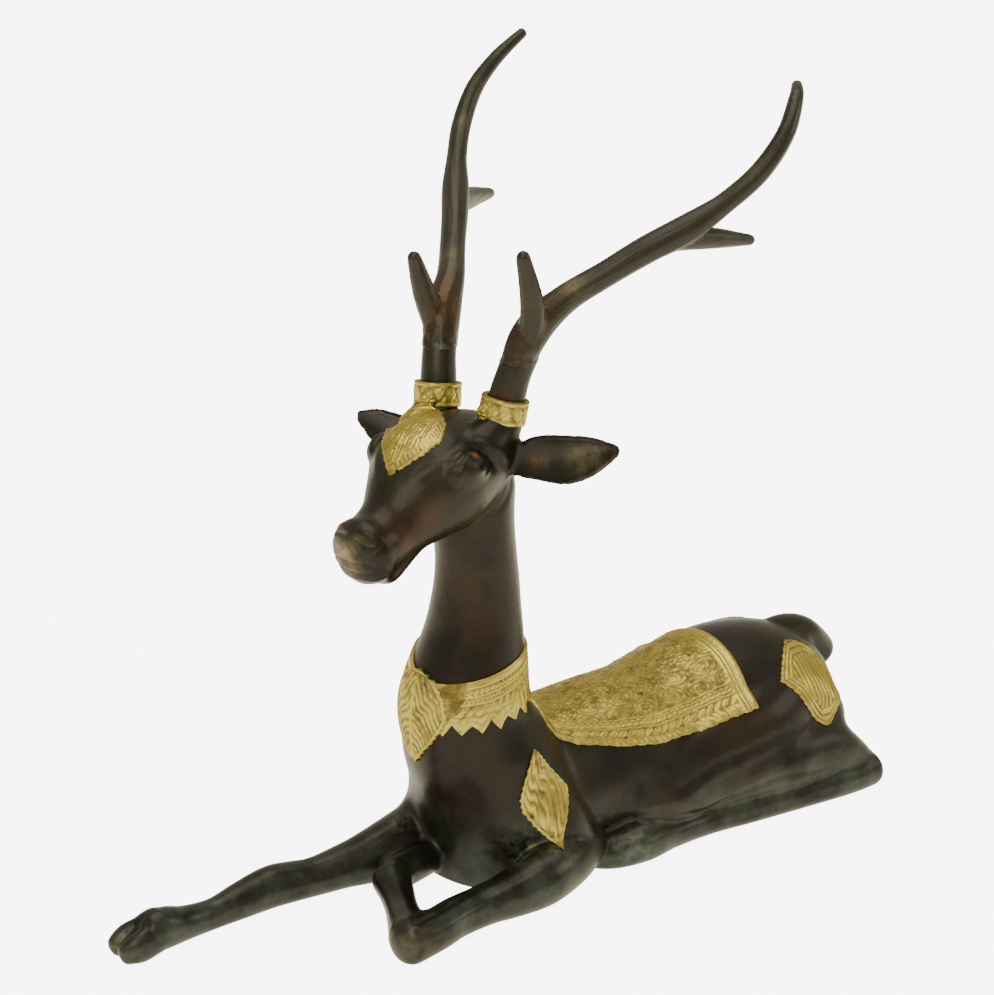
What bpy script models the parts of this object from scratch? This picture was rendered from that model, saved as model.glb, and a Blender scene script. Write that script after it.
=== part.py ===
"""A recumbent bronze stag with gilt trappings, and two antlers cast apart and set on its head.

The stag faces -X and lies on the ground at z = 0. Its left side faces -Y.
Places on the figure are written in units, of which 387.4 make the figure's height: about a
millimetre each. Thicknesses are written as shares of the named radius of the limb they belong to.
"""

import math

import bmesh
import bpy
from mathutils import Matrix, Vector
from mathutils.bvhtree import BVHTree

# Driving dimensions, in metres
FIGURE_HEIGHT = 0.3874  # up to the tip of the taller antler
BARREL_RADIUS = 0.0470  # half the width of the body
NECK_RADIUS = 0.0200  # of the neck, just under the head
THIGH_RADIUS = 0.0240
SHIN_RADIUS = 0.0120
HIND_CANNON_RADIUS = 0.0088
SHOULDER_RADIUS = 0.0180
FORELEG_RADIUS = 0.0100
TOE_RADIUS = 0.0066  # half the width of one half of a cloven hoof
TAIL_RADIUS = 0.0110
SKULL_RADIUS = 0.0300  # half the width of the head at the brows
JAW_RADIUS = 0.0115
BROW_RADIUS = 0.0130
EAR_RADIUS = 0.0115  # half the width of an ear's leaf
EAR_CUP = 0.0055  # how deep the leaf is hollowed, where it is widest
BEAM_RADIUS = 0.0064  # of an antler's main beam
TINE_RADIUS = 0.0052
COLLAR_RADIUS = 0.0112  # of the gilt ring round the foot of an antler
BOSS_RADIUS = 0.0043  # of the flower in front on that ring
RELIEF_HEIGHT = 0.0012  # gilt panels stand this proud of the skin
PANEL_ROOT = 0.0040  # and are let into it this deep, so that the union is clean
ANTLER_GAP = 0.0003  # clearance between an antler's foot and the stub that it sits on
LAP_RADIUS = 0.0050  # the narrowed end of the stub, which the foot of the antler laps over
LAP_LENGTH = 0.0070
LAP_CLEARANCE = 0.0003
LAP_ROOT = 0.0040  # how far the narrowed end starts below the seat

# Fineness of the castings' skins
FLESH_VOXEL = 0.0024
FLESH_SMOOTHING = 16
SKIN_VOXEL = 0.0016
SKIN_SMOOTHING = 6
SKIN_TRIANGLES = 4200
ANTLER_VOXEL = 0.0009
ANTLER_SMOOTHING = 5
ANTLER_TRIANGLES = 700
WELD = 0.0001  # points closer than this become one

UNIT = FIGURE_HEIGHT / 387.4
HEAD_YAW = math.radians(15)  # the head looks a little to its left
HEAD_ORIGIN = Vector((-90, 0, 0))
HEAD_FORWARD = Vector((-math.cos(HEAD_YAW), -math.sin(HEAD_YAW), 0))
HEAD_LEFT = Vector((math.sin(HEAD_YAW), -math.cos(HEAD_YAW), 0))
ACROSS = Vector((0, 1, 0))
ALONG = Vector((1, 0, 0))
UP = Vector((0, 0, 1))
LEFT, RIGHT = 1, -1  # sides of the head and body; left is -Y
SEAT = (-25, 23)  # forward and left of the head: the axis of the lap under an antler
SEAT_HEIGHT = 263
BEAM_SPREAD = {LEFT: 1.02, RIGHT: 1}  # the antlers are not quite alike
EAR_REACH = {LEFT: 1.02, RIGHT: 0.95}
EAR_DROOP = {LEFT: 0, RIGHT: 0.185}  # the right ear hangs lower than the left
COLLAR_FOOT = Vector((-17.4, 19.4, 234.2))  # forward, left and height from the head
COLLAR_TOP = Vector((-19.6, 20.4, 245.4))
RAY_START = 70  # panels are laid on the skin along rays that start this far outside


def head_point(forward, left, height):
    """A point given from the head: forward and left of the neck's axis, and above the ground."""
    return HEAD_ORIGIN + HEAD_FORWARD * forward + HEAD_LEFT * left + UP * height


def between(stations, steps):
    """Stations joined by a Catmull-Rom spline, with this many steps from each to the next."""
    ends = [stations[0], *stations, stations[-1]]
    found = []
    for a, b, c, d in zip(ends, ends[1:], ends[2:], ends[3:]):
        for step in range(steps):
            t = step / steps
            found.append(
                [
                    0.5 * (2 * q + (r - p) * t + (2 * p - 5 * q + 4 * r - s) * t**2)
                    + 0.5 * (3 * q - p - 3 * r + s) * t**3
                    for p, q, r, s in zip(a, b, c, d)
                ]
            )
    return found + [list(stations[-1])]


def loft(bm, stations, radius, side=ACROSS, steps=4, sides=24, caps=(0.6, 0.6), cup=0.0):
    """A closed body through stations of (x, y, z, half width along side, half height across it).

    The widths and heights are shares of radius. caps say how far each end bulges, as shares of
    its smaller half size. cup, in metres, bends the edges of a full wide section forward.
    """
    rows = between(stations, steps)
    centres = [Vector(row[:3]) * UNIT for row in rows]
    tangents = [
        (centres[min(i + 1, len(rows) - 1)] - centres[max(i - 1, 0)]).normalized()
        for i in range(len(rows))
    ]
    rings = [(c, t, row[3] * radius, row[4] * radius) for c, t, row in zip(centres, tangents, rows)]
    cap_angles = [math.radians(a) for a in (72, 50, 26)]
    for end, share, sign in ((0, caps[0], -1), (-1, caps[1], 1)):
        centre, tangent, width, height = rings[end]
        bulge = share * min(width, height) * sign
        extra = [
            (centre + tangent * bulge * math.sin(a), tangent, width * math.cos(a), height * math.cos(a))
            for a in cap_angles
        ]
        rings = extra + rings if end == 0 else rings + extra[::-1]
    made = []
    for centre, tangent, width, height in rings:
        across = (side - tangent * side.dot(tangent)).normalized()
        normal = tangent.cross(across)
        ring = []
        for k in range(sides):
            a = 2 * math.pi * k / sides
            out = normal * (height * math.sin(a) + cup * width / radius * math.cos(a) ** 2)
            ring.append(bm.verts.new(centre + across * width * math.cos(a) + out))
        made.append(ring)
    for a, b in zip(made, made[1:]):
        for k in range(sides):
            bm.faces.new((a[k], a[k - 1], b[k - 1], b[k]))
    bm.faces.new(made[0][::-1])
    bm.faces.new(made[-1])


def ball(bm, centre, radius, shares, turn=0.0):
    """An ellipsoid turned about the vertical. Its half sizes are shares of radius."""
    place = Matrix.Translation(Vector(centre) * UNIT) @ Matrix.Rotation(turn, 4, "Z")
    size = Matrix.Diagonal(Vector(shares) * radius).to_4x4()
    bmesh.ops.create_uvsphere(bm, u_segments=20, v_segments=12, radius=1, matrix=place @ size)


def trunk(bm):
    """Chest and neck as one column, and the barrel of the body behind it."""
    neck = [
        (-59, 0, -6, 2.17, 1.95),
        (-60, 0, 12, 2.26, 2.03),
        (-63, 0, 30, 2.28, 1.98),
        (-68, 0, 52, 2.15, 1.85),
        (-75, 0, 68, 1.95, 1.73),
        (-79, 0, 82, 1.7, 1.6),
        (-79, 0, 96, 1.55, 1.53),
        (-76, 0, 112, 1.35, 1.38),
        (-74, 0, 125, 1.21, 1.25),
        (-73, 0, 138, 1.09, 1.15),
        (-72.3, 0, 150, 1.02, 1.08),
        (-72.8, 0, 166, 0.98, 1.01),
        (-74.5, 0, 184, 1, 1.02),
        (-74, 0, 203, 1.07, 1),
    ]
    loft(bm, neck, NECK_RADIUS)
    barrel = [
        (-72, 0, 34, 0.77, 0.77),
        (-45, 0, 32, 0.89, 0.89),
        (-20, 0, 30.5, 0.94, 0.92),
        (10, 0, 31, 0.98, 0.94),
        (40, 0, 33, 1, 0.888),
        (70, 0, 36.3, 1, 0.965),
        (95, 0, 38, 1, 0.979),
        (115, 0, 34, 0.97, 0.957),
        (129, 0, 26, 0.93, 0.855),
        (137, 0, 23, 0.85, 0.7),
    ]
    loft(bm, barrel, BARREL_RADIUS, caps=(0.5, 0.3))


def hind_quarter(bm, hand):
    """Thigh and shin, folded forward along the belly and down to the hock at the rear corner."""
    thigh = [
        (128, 35, 30.5, 0.76, 0.84),
        (108, 28, 42.5, 0.92, 1.15),
        (85, 33.5, 36, 0.97, 1.3),
        (45, 37, 31, 0.8, 1.13),
        (10, 38, 24, 0.58, 0.75),
    ]
    shin = [
        (-2, 41, 24, 0.92, 1),
        (45, 47, 25, 0.95, 1.08),
        (95, 51.5, 25, 1.02, 1.33),
        (122, 50, 22, 1.17, 1.38),
        (143, 56, 9.5, 0.83, 0.79),
    ]
    for stations, radius in ((thigh, THIGH_RADIUS), (shin, SHIN_RADIUS)):
        loft(bm, [(x, -hand * y, z, w, h) for x, y, z, w, h in stations], radius)


def hind_cannon(bm, hand):
    """The hind cannon and hoof, lying forward from the hock."""
    cannon = [
        (144.5, 57.8, 8.7, 1.12, 1.12),
        (127, 58.4, 8, 1.06, 1.02),
        (98, 55, 7.5, 1.02, 1),
        (67, 51.9, 7.5, 1, 0.97),
        (38, 48.5, 7.5, 0.97, 0.94),
        (12, 48.6, 8.5, 1.08, 1.02),
        (-6, 49.9, 9.5, 1.25, 1.2),
        (-22, 45, 7, 1.14, 1.08),
        (-30, 39.8, 5, 0.91, 0.8),
    ]
    loft(bm, [(x, -hand * y, z, w, h) for x, y, z, w, h in cannon], HIND_CANNON_RADIUS)


def folded_foreleg(bm):
    """The left foreleg: elbow by the ribs, knee out in front, and the cannon folded in across the chest."""
    forearm = [
        (-34, -38, 14, 1.2, 1.3),
        (-52, -47.9, 14, 1.36, 1.4),
        (-74, -54.5, 12.5, 1.4, 1.38),
        (-92, -55.6, 11, 1.21, 1.18),
        (-108, -54.7, 9.8, 1.03, 1.01),
        (-127, -56, 9.6, 1, 1),
        (-140, -59, 9.4, 1.06, 1.02),
        (-157, -59.4, 9.2, 1.22, 1.2),
    ]
    cannon = [
        (-154, -58, 10.5, 1.05, 1.05),
        (-144.8, -38, 11, 0.82, 0.8),
        (-138, -24, 11.5, 0.86, 0.82),
        (-133, -12, 13, 1, 0.95),
    ]
    hoof = [(-131, -9, 13, 0.9, 0.95), (-116, -5, 12, 0.85, 0.9), (-100, 0, 11, 0.8, 0.9)]
    loft(bm, forearm, FORELEG_RADIUS)
    loft(bm, cannon, FORELEG_RADIUS, side=ALONG)
    loft(bm, hoof, FORELEG_RADIUS)


def shoulders(bm):
    """The muscle that runs from the chest down to each elbow."""
    left = [(-62, -22, 52, 1.11, 1.22), (-54, -36, 32, 0.94, 1), (-46, -42, 17, 0.78, 0.83)]
    right = [(-62, 22, 46, 1, 1.11), (-84, 20, 24, 0.83, 0.93), (-106, 15, 13.5, 0.72, 0.8)]
    for stations in (left, right):
        loft(bm, stations, SHOULDER_RADIUS)


def stretched_foreleg(bm):
    """The right foreleg, laid straight out in front, ending in a cloven hoof."""
    leg = [
        (-92, 18, 15.6, 1.55, 1.66),
        (-112, 15.3, 13.8, 1.42, 1.5),
        (-128, 15, 11.8, 1.29, 1.32),
        (-141, 17, 10.3, 1.1, 1.12),
        (-158, 18.8, 9, 0.96, 0.97),
        (-170, 20.8, 9.3, 1, 1.02),
        (-181, 22, 9.6, 1.03, 1.05),
        (-198, 21.3, 8.3, 0.9, 0.92),
        (-214, 20.3, 7, 0.75, 0.76),
        (-230, 19.6, 7.8, 0.82, 0.85),
        (-241, 18.3, 9.8, 0.98, 1.02),
        (-250, 18, 10.5, 1.02, 1.02),
    ]
    loft(bm, leg, FORELEG_RADIUS)
    for toe in (-1, 1):
        half_hoof = [
            (-247, 18.5 + 4 * toe, 9, 0.8, 1.3),
            (-258, 18.8 + 5.4 * toe, 7, 0.88, 1.22),
            (-265, 20 + 4.6 * toe, 4.5, 0.62, 0.85),
        ]
        loft(bm, half_hoof, TOE_RADIUS)


def tail(bm):
    """A short thick tail that rises from the croup and curls down behind."""
    stations = [
        (108, 0, 66, 0.82, 0.73),
        (130, 2, 69.3, 1, 0.88),
        (148, 3, 64.8, 1.02, 0.95),
        (162.5, 4, 51.6, 1.02, 0.95),
    ]
    loft(bm, stations, TAIL_RADIUS)


def head_loft(bm, stations, radius, side=HEAD_LEFT, **options):
    """A loft whose stations are forward, left, height, half width and half height from the head."""
    loft(bm, [(*head_point(f, l, z), w, h) for f, l, z, w, h in stations], radius, side, **options)


def head(bm):
    """Skull and muzzle, jaw, brows, and the roots of the ears and antlers."""
    skull = [
        (-31, 0, 208, 0.6, 0.62),
        (-22, 0, 210, 0.76, 0.78),
        (-8, 0, 211.5, 0.9, 0.86),
        (8, 0, 210, 1, 0.91),
        (18, 0, 206, 0.97, 0.88),
        (29, 0, 200, 0.76, 0.74),
        (40, 0, 194, 0.57, 0.57),
        (51, 0, 189.5, 0.53, 0.52),
        (60, 0, 187.4, 0.56, 0.56),
    ]
    head_loft(bm, skull, SKULL_RADIUS)
    jaw = [
        (-22, 0, 199, 1.48, 1.13),
        (0, 0, 194.5, 1.65, 1),
        (25, 0, 190, 1.2, 0.83),
        (51, 0, 177, 1.1, 0.86),
    ]
    head_loft(bm, jaw, JAW_RADIUS)
    for hand in (LEFT, RIGHT):
        ball(bm, head_point(14, 22.5 * hand, 219.5), BROW_RADIUS, (1, 0.68, 0.72), HEAD_YAW)
        ball(bm, head_point(-22, 20 * hand, 217), BROW_RADIUS, (0.62, 0.62, 0.62))
        root = [(-6, 18, 222, 1.25, 1.4), (-15, 19.3, 231, 0.98, 1), (-19.5, 20, 239, 0.87, 0.87)]
        head_loft(bm, [(f, l * hand, z, w, h) for f, l, z, w, h in root], COLLAR_RADIUS, caps=(0.3, 0.1))


def ear(bm, hand):
    """A leaf-shaped ear, hollowed in front and held out sideways."""
    leaf = [
        (-16.6, 14, 216, 0.57, 0.4),
        (-20.6, 28, 217, 0.74, 0.33),
        (-24, 40, 219.5, 0.98, 0.25),
        (-26, 54, 221.5, 1.02, 0.23),
        (-26.7, 68, 226.2, 0.76, 0.2),
        (-24.8, 79.5, 230.6, 0.23, 0.16),
    ]
    reach, droop = EAR_REACH[hand], EAR_DROOP[hand]
    placed = [(f, l * reach * hand, z - droop * l, w, h) for f, l, z, w, h in leaf]
    head_loft(bm, placed, EAR_RADIUS, side=UP, cup=EAR_CUP * hand, steps=1, sides=14)


def antler_beam(bm, hand, first=0, last=None):
    """The main beam of an antler, or the run of it between two of its stations."""
    beam = [
        (-16.5, 19, 230, 1.25, 1.25),
        (-19.6, 20.4, 244, 1.38, 1.38),
        (-23.6, 23, 258.8, 1.3, 1.3),
        (-31, 26.7, 276, 1.38, 1.38),
        (-46, 33.8, 289.3, 1.09, 1.09),
        (-62, 45.4, 300, 0.99, 0.99),
        (-77.5, 56.6, 310, 1.05, 1.05),
        (-93, 68.6, 319, 1.08, 1.08),
        (-108, 79.7, 330.3, 0.81, 0.81),
        (-123, 88.6, 343.6, 0.79, 0.79),
        (-138, 92.3, 359.3, 0.71, 0.71),
        (-152, 89, 373.4, 0.58, 0.58),
        (-162.5, 83, 378, 0.42, 0.42) if hand == LEFT else (-168, 84, 385, 0.42, 0.42),
    ]
    straight = SEAT_HEIGHT + 20
    placed = []
    for f, l, z, w, h in beam[first:last]:
        spread = BEAM_SPREAD[hand] if z > straight else 1
        placed.append((f, l * spread * hand, z, w, h))
    head_loft(bm, placed, BEAM_RADIUS, sides=16)


def antler_tines(bm, hand):
    """The brow tine in front, and the short tine behind, of one antler."""
    if hand == LEFT:
        brow = [(-31, 29.5, 270, 1.15, 1.15), (-25, 31.8, 290, 1.1, 1.1), (-18, 31.3, 315.5, 0.7, 0.7)]
        rear = [(-90, 66, 315, 1.25, 1.25), (-112, 74, 311.5, 0.96, 0.96), (-134, 80, 307.2, 0.54, 0.54)]
    else:
        brow = [(-28, 28, 268, 1.2, 1.2), (-21, 30.2, 287, 1.08, 1.08), (-14, 30, 306.5, 0.7, 0.7)]
        rear = [(-90, 66, 313, 1.35, 1.35), (-112, 74, 310, 1.05, 1.05), (-135, 79.5, 307.2, 0.56, 0.56)]
    for tine in (brow, rear):
        head_loft(bm, [(f, l * hand, z, w, h) for f, l, z, w, h in tine], TINE_RADIUS, sides=16)


def antler_collar(bm, hand):
    """The gilt ring round the foot of an antler, with a rim at each edge."""
    rim, field = 1.02, 0.97
    edge = 0.92
    profile = [(0, edge), (0.1, rim), (0.26, rim), (0.3, field)]
    profile += [(0.78, field), (0.82, rim), (0.94, rim), (1, edge)]
    stations = []
    for share, radius in profile:
        f, l, z = COLLAR_FOOT.lerp(COLLAR_TOP, share)
        stations.append((f, l * hand, z, radius, radius))
    head_loft(bm, stations, COLLAR_RADIUS, caps=(0, 0), steps=1, sides=18)


def collar_boss(bm, hand):
    """The oval flower boss on the front of an antler's ring, turned a little inward."""
    inward = math.radians(18)
    f, l, z = (COLLAR_FOOT + COLLAR_TOP) / 2
    reach = 0.9 * COLLAR_RADIUS / UNIT
    centre = head_point(f + reach * math.cos(inward), (l - reach * math.sin(inward)) * hand, z)
    ball(bm, centre, BOSS_RADIUS, (0.66, 1, 1.1), HEAD_YAW - inward * hand)


def collection_for(name):
    made = bpy.data.collections.new(name)
    bpy.context.scene.collection.children.link(made)
    return made


def new_object(name, mesh, collection, material=None):
    made = bpy.data.objects.new(name, mesh)
    collection.objects.link(made)
    if material:
        mesh.materials.append(material)
    return made


def evaluated_mesh(obj):
    """The mesh that an object's modifiers make, as a mesh of its own."""
    bpy.context.view_layer.update()
    return bpy.data.meshes.new_from_object(obj.evaluated_get(bpy.context.evaluated_depsgraph_get()))


def bronze():
    made = bpy.data.materials.new("patinated_bronze")
    made.use_nodes = True
    shader = made.node_tree.nodes["Principled BSDF"]
    shader.inputs["Base Color"].default_value = (0.045, 0.033, 0.022, 1)
    shader.inputs["Metallic"].default_value = 0.85
    shader.inputs["Roughness"].default_value = 0.38
    return made


def cast(name, lofts, voxel, smoothing, start=None):
    """Lofts grown together into one smooth skin, as a mesh. start is a skin made before."""
    bm = bmesh.new()
    for make in lofts:
        make(bm)
    bmesh.ops.recalc_face_normals(bm, faces=bm.faces)
    if start:
        bm.from_mesh(start)
    mesh = bpy.data.meshes.new(name)
    bm.to_mesh(mesh)
    bm.free()
    mould = new_object(name, mesh, bpy.context.scene.collection)
    grow = mould.modifiers.new("grow together", "REMESH")
    grow.mode = "VOXEL"
    grow.voxel_size = voxel
    smooth = mould.modifiers.new("smooth", "SMOOTH")
    smooth.factor = 0.5
    smooth.iterations = smoothing
    made = evaluated_mesh(mould)
    bpy.data.objects.remove(mould)
    return outer_skin(made)


def outer_skin(mesh):
    """Drop the closed bubbles left inside, where lofts nearly met, so that the casting is solid."""
    bm = bmesh.new()
    bm.from_mesh(mesh)
    left = set(bm.verts)
    shells = []
    while left:
        shell = {left.pop()}
        edge = list(shell)
        while edge:
            near = {link.other_vert(vert) for vert in edge for link in vert.link_edges} - shell
            shell |= near
            edge = list(near)
        left -= shell
        shells.append(shell)
    shells.sort(key=len)
    for shell in shells[:-1]:
        bmesh.ops.delete(bm, geom=list(shell), context="VERTS")
    bm.to_mesh(mesh)
    bm.free()
    return mesh


def thinned(mesh, triangles):
    """The same skin with about this many triangles."""
    mould = new_object("thinned", mesh, bpy.context.scene.collection)
    thin = mould.modifiers.new("thin", "DECIMATE")
    mesh.calc_loop_triangles()
    thin.ratio = triangles / len(mesh.loop_triangles)
    made = evaluated_mesh(mould)
    bpy.data.objects.remove(mould)
    return made


def tree_of(mesh):
    """A search tree of a mesh, for finding its surface along a ray."""
    bm = bmesh.new()
    bm.from_mesh(mesh)
    tree = BVHTree.FromBMesh(bm)
    bm.free()
    return tree


def panel(bm, tree, rays, ring=False):
    """A thin raised shell over the skin. rays is a grid of starts and directions, in units."""
    layers = []
    spots = [[tree.ray_cast(start * UNIT, way)[:2] for start, way in row] for row in rays]
    for depth in (RELIEF_HEIGHT, -PANEL_ROOT):
        layers.append([[bm.verts.new(spot + normal * depth) for spot, normal in row] for row in spots])
    top, bottom = layers
    across = len(rays[0])
    cells = across if ring else across - 1
    for i in range(len(rays) - 1):
        for j in range(cells):
            k = (j + 1) % across
            bm.faces.new((top[i][j], top[i][k], top[i + 1][k], top[i + 1][j]))
            bm.faces.new((bottom[i][j], bottom[i + 1][j], bottom[i + 1][k], bottom[i][k]))
    for i in (0, -1):
        for j in range(cells):
            k = (j + 1) % across
            bm.faces.new((top[i][j], bottom[i][j], bottom[i][k], top[i][k]))
    if not ring:
        for j in (0, -1):
            for i in range(len(rays) - 1):
                bm.faces.new((top[i][j], top[i + 1][j], bottom[i + 1][j], bottom[i][j]))


def lozenge(bm, tree, near, far, outward, cells=4):
    """A panel between two chains of points, its near and its far edge, laid on along outward."""
    rays = []
    for a, b in zip(near, far):
        a, b = Vector(a), Vector(b)
        rays.append([(a.lerp(b, j / cells) + outward * RAY_START, -outward) for j in range(cells + 1)])
    panel(bm, tree, rays)


def body_lozenges(bm, tree):
    """The lozenges on the shoulders and haunches, the same on both sides."""
    shoulder = (
        [(-67.6, 38, 73), (-73, 40, 62), (-77, 42, 51), (-75.5, 43, 40), (-69.5, 51, 31.5), (-63.6, 58, 25)],
        [(-66, 38, 72.6), (-59, 39, 66), (-53.8, 40, 59), (-53.2, 46, 49), (-56, 53, 36), (-62, 58, 25.4)],
        Vector((-0.15, 0.9, 0.4)),
    )
    haunch = (
        [(116, 19, 76.5), (109, 27, 74.5), (102, 35, 71), (95, 41, 66.6), (105, 48, 54), (116, 54.2, 40)],
        [(118, 19, 76), (127, 20, 71), (134, 23, 65), (137, 32, 55), (134, 40, 46), (118, 53.8, 40)],
        Vector((0.5, 0.65, 0.57)),
    )
    for hand in (LEFT, RIGHT):
        for near, far, outward in (shoulder, haunch):
            near, far = ([(x, -hand * y, z) for x, y, z in chain] for chain in (near, far))
            lozenge(bm, tree, near, far, Vector((outward.x, -hand * outward.y, outward.z)).normalized())


def forehead_lozenge(bm, tree):
    """The pointed shield on the forehead, round above."""
    half_widths = [(-1, 5), (5, 12), (13, 15.5), (21, 15), (31, 8), (40, 1)]
    near, far = ([head_point(f, w * hand, 240 - f / 2) for f, w in half_widths] for hand in (LEFT, RIGHT))
    lozenge(bm, tree, near, far, (UP + HEAD_FORWARD * 0.5).normalized())


def pendant(bm, tree):
    """The pointed pendant on the chest, hung over the collar."""
    half_widths = [(123, 1), (109, 10.5), (95, 20), (79.5, 10.5), (64, 1)]
    near, far = ([(-110, w * hand, z) for z, w in half_widths] for hand in (-1, 1))
    lozenge(bm, tree, near, far, -ALONG)


def neck_collar(bm, tree, teeth=22, tooth=2.6):
    """The wide gilt collar round the foot of the neck, with a fringe of pointed teeth below."""
    rays = []
    for share in (0, 0.35, 1):
        row = []
        for k in range(2 * teeth):
            turn = math.pi * k / teeth
            outward = Vector((-math.cos(turn), math.sin(turn), 0))
            behind = (1 - math.cos(turn)) / 2
            height = (86 + 8 * behind) * (1 - share) + (108 + 10 * behind) * share
            if share == 0:
                height += tooth if k % 2 else -tooth
            row.append((Vector((-78, 0, height)) + outward * RAY_START, -outward))
        rays.append(row)
    panel(bm, tree, rays, ring=True)


def saddle_cloth(bm, tree, along=10, across=10):
    """The gilt cloth over the back, with its corners rounded. Its edge is a half angle at each x."""
    axis_height = 45
    edge = [(-47, 38), (-41, 50), (-32, 60), (-9, 72), (13, 78), (36, 77), (54, 74), (70, 73)]
    front, back = edge[0][0], edge[-1][0]
    rays = []
    for i in range(along + 1):
        x = front + (back - front) * i / along
        for (x0, t0), (x1, t1) in zip(edge, edge[1:]):
            if x0 <= x <= x1:
                reach = t0 + (t1 - t0) * (x - x0) / (x1 - x0)
        row = []
        for j in range(across + 1):
            turn = math.radians(reach) * (2 * j / across - 1)
            outward = Vector((0, math.sin(turn), math.cos(turn)))
            back_bow = 8 * math.cos(turn) * i / along
            row.append((Vector((x + back_bow, 0, axis_height)) + outward * RAY_START, -outward))
        rays.append(row)
    panel(bm, tree, rays)


def mesh_of(name, makers):
    """A mesh from functions that each add to one bmesh."""
    bm = bmesh.new()
    for make in makers:
        make(bm)
    bmesh.ops.recalc_face_normals(bm, faces=bm.faces)
    mesh = bpy.data.meshes.new(name)
    bm.to_mesh(mesh)
    bm.free()
    return mesh


def block(bm, low, high):
    """A box between two heights, in units, that is wider than the figure."""
    reach = 300
    place = Matrix.Translation(UP * (low + high) / 2 * UNIT)
    size = Matrix.Diagonal(Vector((2 * reach, 2 * reach, high - low)) * UNIT).to_4x4()
    bmesh.ops.create_cube(bm, size=1, matrix=place @ size)


def upright_pin(bm, hand, radius, low, high):
    """A round pin on the axis of an antler's seat; its sizes are in metres."""
    centre = head_point(SEAT[0], SEAT[1] * hand, 0) * UNIT
    place = Matrix.Translation(centre + UP * (low + high) / 2)
    bmesh.ops.create_cone(
        bm, cap_ends=True, segments=16, radius1=radius, radius2=radius, depth=high - low, matrix=place
    )


def worked(mesh, steps):
    """A mesh after boolean steps, each an operation and the mesh it works with, then welded clean."""
    bench = collection_for("bench")
    work = new_object("work", mesh, bench)
    for operation, tool_mesh in steps:
        step = work.modifiers.new(tool_mesh.name, "BOOLEAN")
        step.operation = operation
        step.solver = "EXACT"
        step.use_self = True
        step.object = new_object(tool_mesh.name, tool_mesh, bench)
    made = evaluated_mesh(work)
    for obj in list(bench.objects):
        bpy.data.objects.remove(obj)
    bpy.data.collections.remove(bench)
    bm = bmesh.new()
    bm.from_mesh(made)
    bmesh.ops.triangulate(bm, faces=bm.faces)
    bmesh.ops.remove_doubles(bm, verts=bm.verts, dist=WELD)
    # a sliver that the weld folds shut leaves a flap with open edges
    flaps = True
    while flaps:
        flaps = [face for face in bm.faces if any(edge.is_boundary for edge in face.edges)]
        bmesh.ops.delete(bm, geom=flaps, context="FACES")
    bm.to_mesh(made)
    bm.free()
    return made


def make_deer(parts, material):
    """The body casting: skin, gilt panels, ears, collars, and the stubs that carry the antlers."""
    masses = [trunk, shoulders] + [lambda bm, hand=hand: hind_quarter(bm, hand) for hand in (LEFT, RIGHT)]
    limbs = [folded_foreleg, stretched_foreleg, tail, head]
    for hand in (LEFT, RIGHT):
        limbs.append(lambda bm, hand=hand: hind_cannon(bm, hand))
        limbs.append(lambda bm, hand=hand: antler_beam(bm, hand, 0, 4))
    flesh = cast("flesh", masses, FLESH_VOXEL, FLESH_SMOOTHING)
    skin = cast("skin", limbs, SKIN_VOXEL, SKIN_SMOOTHING, start=flesh)
    tree = tree_of(skin)
    waste = [
        lambda bm: block(bm, -60, 0),
        lambda bm: block(bm, SEAT_HEIGHT, SEAT_HEIGHT + 60),
    ]
    panels = (saddle_cloth, body_lozenges, forehead_lozenge, neck_collar)
    gilt = [lambda bm, lay=lay: lay(bm, tree) for lay in panels]
    seat = SEAT_HEIGHT * UNIT
    added = [lambda bm: pendant(bm, tree)]
    bosses = [lambda bm, hand=hand: collar_boss(bm, hand) for hand in (LEFT, RIGHT)]
    for hand in (LEFT, RIGHT):
        added.append(lambda bm, hand=hand: ear(bm, hand))
        added.append(lambda bm, hand=hand: antler_collar(bm, hand))
        added.append(
            lambda bm, hand=hand: upright_pin(bm, hand, LAP_RADIUS, seat - LAP_ROOT, seat + LAP_LENGTH)
        )
    steps = [
        ("DIFFERENCE", mesh_of("waste", waste)),
        ("UNION", mesh_of("gilt", gilt)),
        ("UNION", mesh_of("added", added)),
        ("UNION", mesh_of("bosses", bosses)),
    ]
    return new_object("deer", worked(thinned(skin, SKIN_TRIANGLES), steps), parts, material)


def make_antler(name, hand, parts, material):
    """One antler, cut flat at the foot and hollowed there to lap over the end of its stub."""
    lofts = [lambda bm: antler_beam(bm, hand, 1), lambda bm: antler_tines(bm, hand)]
    grown = cast(name, lofts, ANTLER_VOXEL, ANTLER_SMOOTHING)
    foot = SEAT_HEIGHT + ANTLER_GAP / UNIT
    low, high = foot * UNIT - LAP_ROOT, SEAT_HEIGHT * UNIT + LAP_LENGTH + LAP_CLEARANCE
    hollow = [lambda bm: upright_pin(bm, hand, LAP_RADIUS + LAP_CLEARANCE, low, high)]
    steps = [
        ("DIFFERENCE", mesh_of("waste", [lambda bm: block(bm, foot - 60, foot)])),
        ("DIFFERENCE", mesh_of("lap", hollow)),
    ]
    return new_object(name, worked(thinned(grown, ANTLER_TRIANGLES), steps), parts, material)


def centre_on_ground(objects):
    """Move the meshes so that the middle of their bounding box stands over the origin."""
    spots = [v.co for obj in objects for v in obj.data.vertices]
    low = Vector([min(spot[k] for spot in spots) for k in range(3)])
    high = Vector([max(spot[k] for spot in spots) for k in range(3)])
    shift = Matrix.Translation(Vector(((low.x + high.x) / -2, (low.y + high.y) / -2, -low.z)))
    for obj in objects:
        obj.data.transform(shift)


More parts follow.
